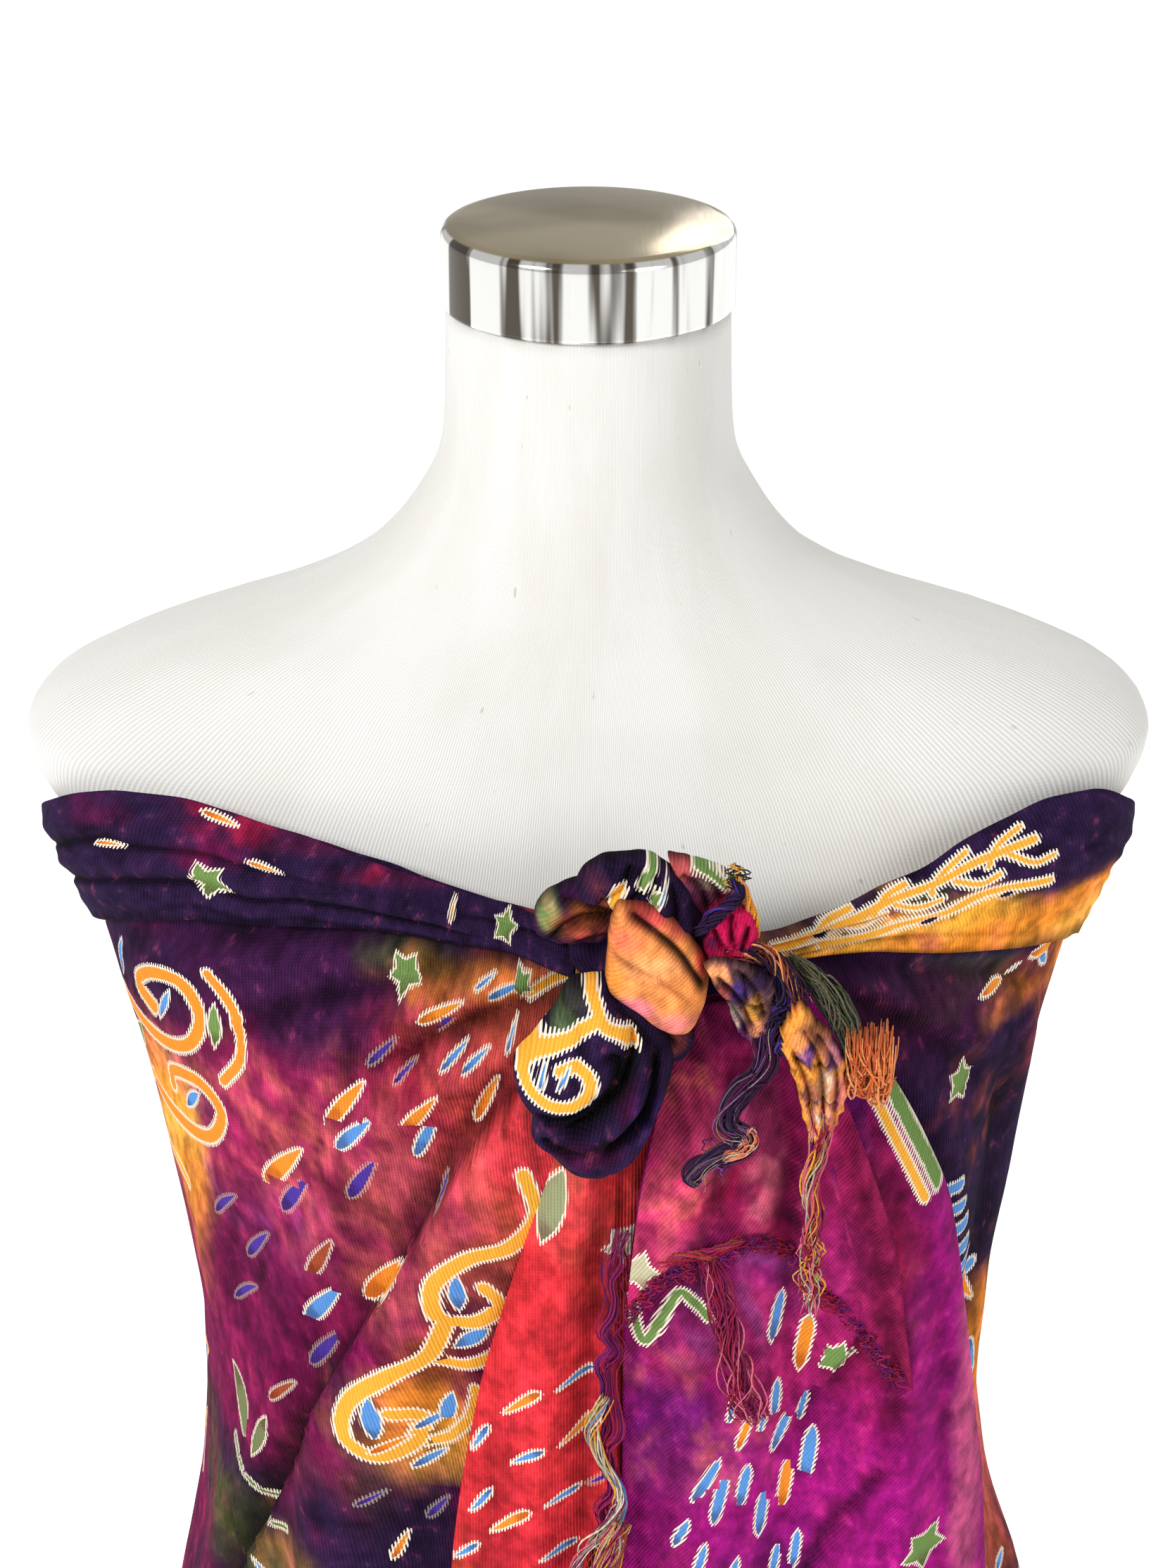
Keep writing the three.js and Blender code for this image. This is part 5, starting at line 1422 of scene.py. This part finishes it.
# ---------------------------------------------------------------- frayed ends
def tubes(name, lines, radii, colours, node, slot="yarn", sides=3):
    """Thin strands as one mesh. lines is a list of point rows; colours one per strand or point."""
    points, quads, caps, dye, cloth = [], [], [], [], []
    start = 0
    turn = np.linspace(0, 2 * math.pi, sides, endpoint=False)
    for k, (line, radius, colour) in enumerate(zip(lines, radii, colours)):
        line = np.asarray(line, float)
        n = len(line)
        along = np.gradient(line, axis=0)
        along /= np.maximum(np.linalg.norm(along, axis=1, keepdims=True), 1e-9)
        guide = np.where(np.abs(along[:, :1]) > 0.8, (0.0, 1.0, 0.0), (1.0, 0.0, 0.0))
        a = np.cross(along, guide)
        a /= np.linalg.norm(a, axis=1, keepdims=True)
        b = np.cross(along, a)
        thin = radius * np.interp(np.linspace(0, 1, n), [0, 0.08, 0.85, 1], [0.6, 1, 1, 0.25])
        p = (line[:, None] + a[:, None] * (np.cos(turn)[None, :, None] * thin[:, None, None])
             + b[:, None] * (np.sin(turn)[None, :, None] * thin[:, None, None]))
        points.append(p.reshape(-1, 3))
        quads.append(grid_faces(n, sides, start, False, closed=True))
        for i in range(1, sides - 1):
            caps.append((start, start + i + 1, start + i))
            last = start + (n - 1) * sides
            caps.append((last, last + i, last + i + 1))
        length = np.linspace(0, 1.2 * n, n)
        cloth.append(np.column_stack([np.tile(turn, n) + k, np.repeat(length, sides),
                                      np.zeros(n * sides)]))
        colour = np.asarray(colour, float)
        if colour.ndim == 1:
            colour = np.tile(colour, (n, 1))
        dye.append(np.repeat(colour, sides, axis=0))
        start += n * sides
    made = build(name, np.concatenate(points), np.concatenate(quads), YARN, node, caps)
    carry(made, "cloth", np.concatenate(cloth))
    dye = np.concatenate(dye)
    carry(made, "dye", np.column_stack([dye, np.ones(len(dye))]))
    return made


def bundle(path, strands, spread, twist, seed, palette, points=46, wild=1.0, thick=(0.30, 0.5)):
    """Loose yarns that run together along a path of x y z, half width, half depth."""
    palette = read(palette)[0]
    random = np.random.default_rng(seed)
    shape = spline(path, points)
    along, front, side = frames(shape[:, :3])
    t = np.linspace(0, 1, points)
    lines, radii, colours = [], [], []
    for k in range(strands):
        angle, out = random.uniform(0, 2 * math.pi), math.sqrt(random.uniform(0.05, 1.0))
        wave = angle + twist * t * 2 * math.pi + 0.7 * noise(seed + k, t * 6, k)
        sway = wild * noise(seed + 90 + k, t * 7, k * 1.7)
        w = shape[:, 3] * spread * out * np.cos(wave) + sway
        d = shape[:, 4] * spread * out * np.sin(wave) + 0.6 * sway
        lines.append(shape[:, :3] + side * w[:, None] + front * d[:, None])
        radii.append(random.uniform(*thick))
        first, second = (palette[random.integers(len(palette))] for _ in range(2))
        share = smooth(0.3, 0.7, t + 0.3 * noise(seed + k, t * 5, 3))[:, None]
        colours.append(mix(first, second, share))
    return lines, radii, colours


def hanging(roots, length, seed, palette, wild=2.0, points=18, thick=(0.24, 0.42), curly=3.4):
    """Single yarns that hang from their roots."""
    palette = read(palette)[0]
    random = np.random.default_rng(seed)
    lines, radii, colours = [], [], []
    for k, root in enumerate(roots):
        drop = length * random.uniform(0.6, 1.15)
        t = np.linspace(0, 1, points)
        sway = wild * np.stack([noise(seed + k, t * curly, k),
                                0.4 * noise(seed + k + 50, t * 3, k), 0 * t], -1)
        sway *= smooth(0, 0.25, t)[:, None]
        off = np.stack([0 * t, 0 * t, -drop * t], -1)
        lines.append(np.asarray(root) + off + sway)
        radii.append(random.uniform(*thick))
        colours.append(palette[random.integers(len(palette))])
    return lines, radii, colours


def around(place, reach, count, seed):
    """Roots scattered about a place, in x and z."""
    off = np.random.default_rng(seed).uniform(-reach, reach, (count, 2))
    return [np.array(place) + (dx, 0, dz) for dx, dz in off]


def together(*groups):
    return tuple(sum((list(g[i]) for g in groups), []) for i in range(3))


pad("tail_curl_cloth", ("tail_curl",), (50, 1349), -166, 7,
    """
    37 1362, 44 1363, 52 1361, 59 1357, 60 1349, 59 1341, 57 1334, 51 1335, 47 1341, 45 1348,
    41 1354""",
    """
    valley 2.6 1.0 0.6: 40 1360, 48 1352, 54 1338;
    valley 2.2 0.9 0.55: 46 1362, 54 1354, 57 1342;
    valley 2.0 0.8 0.5: 44 1352, 49 1344, 52 1336;
    valley 1.6 0.6 0.5: 50 1360, 51 1352, 57 1347;
    ridge 1.4 1.3: 43 1360, 51 1353, 56 1341""",
    """
    48 1355 4 4 indigo 0.9 0.3, 41 1360 4 3 apricot 0.9, 53 1348 3 5 amber 0.9 0.4,
    55 1340 4 4 apricot 0.9 0.5, 47 1344 3 4 cream 0.7 0.7, 56 1357 4 4 night 0.9,
    50 1352 2 3 night 0.9, 44 1354 3 3 rust 0.9 0.3, 50 1338 2 4 violet 0.8 0.3""",
    "umber", bias=0.8, seed=18, ragged=0.06, fine=4.5)
pad("tail_long_cloth", ("tail_long",), (73, 1326), -172, 7,
    """
    62 1342, 66 1349, 71 1347, 77 1340, 82 1332, 84 1322, 83 1311, 80 1302, 76 1297, 71 1305,
    68 1317, 65 1328, 62 1336""",
    """
    valley 2.8 0.9 0.5: 68 1345, 75 1330, 77 1300;
    valley 2.4 0.8 0.45: 72 1343, 80 1328, 80 1306;
    valley 2.2 0.8 0.45: 65 1338, 71 1322, 74 1302;
    valley 1.6 0.5 0.5: 66 1333, 72 1330, 80 1331;
    valley 1.6 0.5 0.5: 70 1314, 75 1317, 82 1314;
    ridge 1.8 1.1: 70 1344, 77 1329, 78 1304;
    ridge 1.6 1.1: 66 1342, 73 1325, 75 1304""",
    """
    74 1342 7 7 dusk 0.95 0.3, 70 1334 3 4 indigo 0.9 0.2, 79 1334 4 5 indigo 0.8 0.4,
    76 1312 4 8 cream 0.8 0.8, 72 1318 3 7 violet 0.8 0.5, 81 1318 3 8 pink 0.8 0.5,
    77 1325 3 5 cream 0.8 0.6, 68 1340 3 4 apricot 0.8 0.3, 79 1306 3 6 rose 0.7 0.4""",
    "ochre", bias=0.3, seed=19, ragged=0.07, fine=4.5)
tubes("tail_curl_yarn", *together(
    bundle("""
    56 -168 1342 3 2, 58 -172 1333 3.4 2.4, 56 -175 1326 3.6 2.0, 50 -176 1320 3.8 2.0,
    46 -177 1312 3.8 2.0, 46 -177 1307 3.2 2.0, 51 -177 1303 3 1.8, 50 -177 1299 3 1.8,
    44 -177 1296 2.6 1.6, 37 -177 1292 2.2 1.4, 33 -177 1287 1.6 1.2, 36 -177 1284 1 1""",
           62, 1.0, 0.3, 531, "plum night dusk night grape dusk heather", points=90, wild=1.6,
           thick=(0.34, 0.62)),
    bundle("52 -177 1306 3 1.6, 53 -179 1302 3 1.6, 50 -179 1298 2.6 1.4, 44 -179 1295 2 1.2",
           16, 1.0, 0.3, 535, "apricot amber cream salmon", points=50, wild=0.8, thick=(0.24, 0.4)),
    bundle("""
    57 -170 1340 4 3, 56 -176 1326 5 2, 46 -179 1309 5 2, 51 -179 1301 4 2, 38 -179 1291 3 2,
    35 -178 1284 3 2""",
           9, 1.0, 0.8, 537, "lilac violet pale plum", points=90, wild=1.6, thick=(0.14, 0.24)),
    hanging(around((44, -176, 1298), 4, 12, 6), 9, 533, "lilac violet plum", wild=3)),
    ("tail_curl",))
tubes("tail_long_yarn", *together(
    bundle("""
    74 -174 1316 5 2.5, 76 -176 1306 4 2.5, 75 -177 1296 3.2 2.2, 73 -178 1284 2.6 2,
    75 -178 1272 2.8 2, 74 -178 1262 2.4 1.6""",
           44, 1.0, 0.7, 541, "crimson rose wine amber pale pink salmon", points=60, wild=1.0),
    bundle("""
    57 -160 1356 3 2, 62 -166 1349 3.5 2.5, 60 -170 1342 4 2.6, 62 -173 1335 3.5 2.4,
    66 -174 1337 2.5 2""", 34, 1.0, 1.4, 547, "night dusk indigo night slate", points=60,
           wild=1.4),
    bundle("""
    40 -150 1356 2 2, 47 -158 1360 3 2.4, 56 -160 1362 3.5 2.6, 64 -162 1355 3.5 2.6,
    71 -166 1346 3 2.2""", 30, 1.0, 1.3, 549, "night dusk apricot night rust", points=60, wild=1.0),
    hanging(around((74, -178, 1266), 3, 26, 5), 32, 551, "crimson rose amber pale pink", wild=3.2,
            curly=5)), ("tail_long",))

tassel = []
random = np.random.default_rng(561)
for k in range(64):
    t = np.linspace(0, 1, 30)
    cx, top = 91.5 + random.uniform(-5.2, 5.2), 1341 + random.uniform(-6, 2)
    drop, wide = random.uniform(10, 24), random.uniform(0.8, 3.2)
    tassel.append(np.stack([cx + wide * np.cos(math.pi * t) + 2.6 * noise(570 + k, t * 3, k * 1.3)
                            + random.uniform(-5, 5) * (t - 0.5),
                            -169 - 6 * random.uniform(0, 1) - 1.5 * np.sin(math.pi * t)
                            + noise(590 + k, t * 4, k),
                            top - drop * np.sin(math.pi * t) ** 0.6], -1))
tassel_inks = "clay terracotta brick shell"
tubes("tail_tassel_yarn", *together(
    bundle("""
    66 -148 1353 3 2, 74 -158 1350 5 3, 81 -166 1344 5.5 3, 85 -170 1335 4 2.5, 86 -171 1324 3 2""",
           48, 1.0, 0.4, 581, "khaki moss drab peat", points=50, wild=0.8),
    (tassel, [0.42] * 64, read(tassel_inks)[0] * 16),
    bundle("82 -170 1324 2 1.5, 88 -172 1319 3 2, 95 -172 1318 3 2, 99 -171 1323 2 1.5",
           20, 1.0, 1.5, 585, tassel_inks, points=40, wild=0.8)), ("tail_tassel",))
tubes("bud_yarn", *together(
    bundle("""
    36 -150 1362 2 1.6, 37 -158 1370 2.6 2, 41 -160 1376 2.8 2, 46 -158 1379 2.6 2,
    49 -154 1381 2 1.8, 46 -150 1384 1.6 1.4""", 30, 1.0, 1.5, 587, "night dusk indigo night",
           points=50, wild=0.4),
    bundle("""
    54 -150 1362 2 1.6, 53 -154 1370 2.4 2, 52 -154 1376 2 1.8, 50 -152 1381 1.6 1.4,
    48 -150 1385 0.8 0.8""", 26, 1.0, 1.0, 589, "amber amber orange apricot", points=40, wild=0.4),
    hanging(around((48, -150, 1388), 2, 10, 8), 6, 593, "moss amber night", wild=3.4, curly=6)), ())


def fringe():
    """Frayed end: crumpled yarn beside the free edge that twists, splits in two and hangs."""
    groups = []
    down = np.linspace(0.095, 0.985, 60)
    x, y, z = fall_points(FALL_RIGHT, np.zeros(60), down)
    random = np.random.default_rng(611)
    level = lambda at: np.array([np.interp(at, z[::-1], c[::-1]) for c in (x, y)])
    # heading: thin, crumpled and magenta, close beside the edge of the cloth
    heights = np.arange(z[0], z[-1], -7.0)
    path = []
    for k, at in enumerate(heights):
        px, py = level(at)
        path.append((px - 5 + random.uniform(-2.5, 2.5), py - 3 - random.uniform(0, 2), at,
                     random.uniform(2.2, 5.2), random.uniform(1.2, 2.2)))
    groups.append(bundle(path, 24, 1.0, 5, 601, "wine rose magenta violet rose",
                         points=4 * len(path), wild=1.3, thick=(0.24, 0.42)))
    # yarns that swing across it and let go, one lot below another
    top = 1188.0
    k = 0
    while top > z[-1] + 40:
        span = random.uniform(46, 74)
        swing = random.uniform(4, 8) * (1 if k % 2 else -1)
        offs = [0, swing, swing * 0.4, -swing, -swing * 1.2, -swing * 0.2]
        path = []
        for i, off in enumerate(offs):
            at = top - span * i / (len(offs) - 1)
            px, py = level(at)
            path.append((px - 6 + off, py - 6 - random.uniform(0, 2), at,
                         random.uniform(1.4, 3.0), 1.5))
        lead = ["pale amber cream sky", "cream pink magenta pale", "amber orange cream wine",
                "sky pale lilac cream"][k % 4]
        groups.append(bundle(path, 15, 1.0, 1.2, 620 + 13 * k, lead, points=34, wild=0.9,
                             thick=(0.26, 0.46)))
        end = path[-1]
        ends_at = [np.array((end[0] + dx, end[1], end[2] + dz))
                   for dx, dz in zip(random.uniform(-2.5, 2.5, 9), random.uniform(-3, 8, 9))]
        groups.append(hanging(ends_at, 26, 700 + 17 * k, lead + " rose", wild=4.0, points=14,
                              curly=5, thick=(0.2, 0.34)))
        top -= span * random.uniform(0.5, 0.75)
        k += 1
    # the wide lot that fans out to the left, over the red fall
    for spread in range(2):
        path = [(13 - 2 * spread, -166, 1136, 2, 1.4), (8 - 2 * spread, -168, 1120, 4, 1.8),
                (3 - 2 * spread, -169, 1100, 5, 2), (0 - 2 * spread, -170, 1076, 5.5, 2),
                (-4, -171, 1050, 6.5, 2), (-8, -172, 1024, 7, 2)]
        groups.append(bundle(path, 34, 1.0, 0.6, 801 + 7 * spread,
                             "rose pink cream magenta pale rust amber", points=70, wild=1.6,
                             thick=(0.24, 0.42)))
    return together(*groups)


tubes("end_fringe_yarn", *fringe(), ("end_fringe",))

# frayed lower edge of the flap, and the loose crumple of threads below its middle
edge = flap.p[-1]
picks = np.random.default_rng(641).integers(2, len(edge) - 2, 150)
frays = tubes("flap_frays", *together(
    hanging([edge[i] + (0, -0.8, 1.0) for i in picks], 8, 651, "wine rose crimson violet",
            wild=3.4, curly=5),
    bundle("""
    40 -166 1247 2 1, 44 -168 1236 4 1.5, 47 -169 1222 5 2, 50 -170 1206 6 2, 54 -171 1192 7 2,
    60 -171 1184 4 1.5""", 46, 1.0, 0.8, 655, "wine rose crimson rose pink",
           points=60, wild=2.6, thick=(0.22, 0.4)),
    bundle("""
    14 -158 1232 1.5 1, 22 -162 1241 2 1.4, 34 -165 1248 2.4 1.4, 42 -166 1250 2 1.4,
    52 -167 1256 1.2 1""", 22, 1.0, 1.6, 657, "wine crimson rose rust", points=60, wild=0.7)), ())


# ---------------------------------------------------------------- dress form
def make_torso():
    rows, columns = 160, 144
    keys = FORM.keys
    z = np.interp(np.linspace(0, 1, rows), np.linspace(0, 1, len(keys)), keys)[:, None]
    degrees = np.linspace(0, 360, columns, endpoint=False)[None, :]
    p = ring(FORM, degrees, z, 0)
    away = np.hypot(np.abs(p[..., 0]) - BUST["x"], p[..., 2] - BUST["z"]) / BUST["spread"]
    p[..., 1] -= np.where(p[..., 1] < 0, BUST["height"] * np.exp(-away * away), 0)
    for _ in range(3):
        p[1:-1] = (p[:-2] + 2 * p[1:-1] + p[2:]) / 4
    dent = 0.5 * fractal(701, p[..., 0] / 30, p[..., 2] / 30, 2)
    n = grid_normals(p, closed=True)
    n = n if (n * p * (1, 1, 0)).sum() > 0 else -n
    p = p + n * dent[..., None] * smooth(1500, 1440, p[..., 2])[..., None]
    points, quads, caps = closed_grid(p)
    made = build("form_torso_knit", points, quads, KNIT, ("form_torso",), caps)
    girth = np.degrees(np.arctan2(p[..., 0], -p[..., 1])) * math.radians(1) * 165
    carry(made, "cloth", ends(np.stack([girth, p[..., 2], 0 * girth], -1)))


def lathe(name, profile, node, material, columns=128):
    """A turned piece: rows of radius and height, from the bottom middle to the top middle."""
    rows = np.array(profile, float)
    turn = np.linspace(0, 2 * math.pi, columns, endpoint=False)
    p = np.stack([rows[:, :1] * np.cos(turn), rows[:, :1] * np.sin(turn),
                  np.repeat(rows[:, 1:], columns, 1)], -1)
    points, quads, caps = closed_grid(p)
    return build(name, points, quads, material, node, caps)


def arc(cx, cz, radius, start, end, steps=7):
    return [(cx + radius * math.cos(math.radians(a)), cz + radius * math.sin(math.radians(a)))
            for a in np.linspace(start, end, steps)]


make_torso()
lathe("neck_cap_plate", [(49.8, 1532), (50.4, 1532), (51, 1532.6), (51, 1533.4), (51, 1555)]
      + arc(47.6, 1556.2, 3.4, 0, 78) + [(46.6, 1559.9), (46, 1560), (20, 1560)],
      ("neck_cap",), CHROME)
lathe("stand_pole", [(14, 46.3), (14, 60), (14, 840), (14, 845.7)], ("form_pole",), STEEL, 72)
lathe("stand_base", [(160, 0), (164, 0.4), (165, 1.4), (165, 5)] + arc(161, 5, 4, 0, 90)
      + [(120, 9), (60, 9), (30, 9.2)] + arc(28, 13, 4, 270, 180) + [(24, 44)]
      + arc(22.5, 44.5, 1.5, 0, 90) + [(18, 46)], ("form_base",), STEEL)

# ---------------------------------------------------------------- studio
floor_mesh = bpy.data.meshes.new("floor")
floor_mesh.from_pydata([(-30, -12, -0.001), (30, -12, -0.001), (30, 48, -0.001), (-30, 48, -0.001)], [],
                       [(0, 1, 2, 3)])
floor_mesh.materials.append(pale_floor())
add("floor", floor_mesh)


def area_light(name, place, target, size, power):
    data = bpy.data.lights.new(name, "AREA")
    data.shape, data.size, data.energy = "DISK", size, power
    made = add(name, data)
    made.location = place
    aim = np.array(target) - np.array(place)
    flat = math.hypot(aim[0], aim[1])
    made.rotation_euler = (math.atan2(flat, -aim[2]), 0, math.atan2(-aim[0], aim[1]))


area_light("key", (-1.9, -2.0, 3.1), (0, 0, 1.25), 1.0, 62)
area_light("fill", (2.2, -2.4, 2.2), (0, 0, 1.2), 2.0, 18)
area_light("rim", (0.9, 2.4, 2.4), (0, 0, 1.2), 1.6, 16)
world = bpy.data.worlds.new("studio")
world.use_nodes = True
background = world.node_tree.nodes["Background"]
background.inputs["Color"].default_value = (1, 0.99, 0.975, 1)
background.inputs["Strength"].default_value = 0.60
bpy.context.scene.world = world

camera_data = bpy.data.cameras.new("camera")
camera_data.sensor_width, camera_data.lens = 36, 72.5
camera_data.clip_start, camera_data.clip_end = 0.05, 120
camera = add("camera", camera_data)
camera.location = (-0.0024, -1.060, 1.854)
camera.rotation_euler = (math.radians(90 - 25.6), 0, 0)
bpy.context.scene.camera = camera
bpy.context.scene.view_settings.view_transform = "Standard"
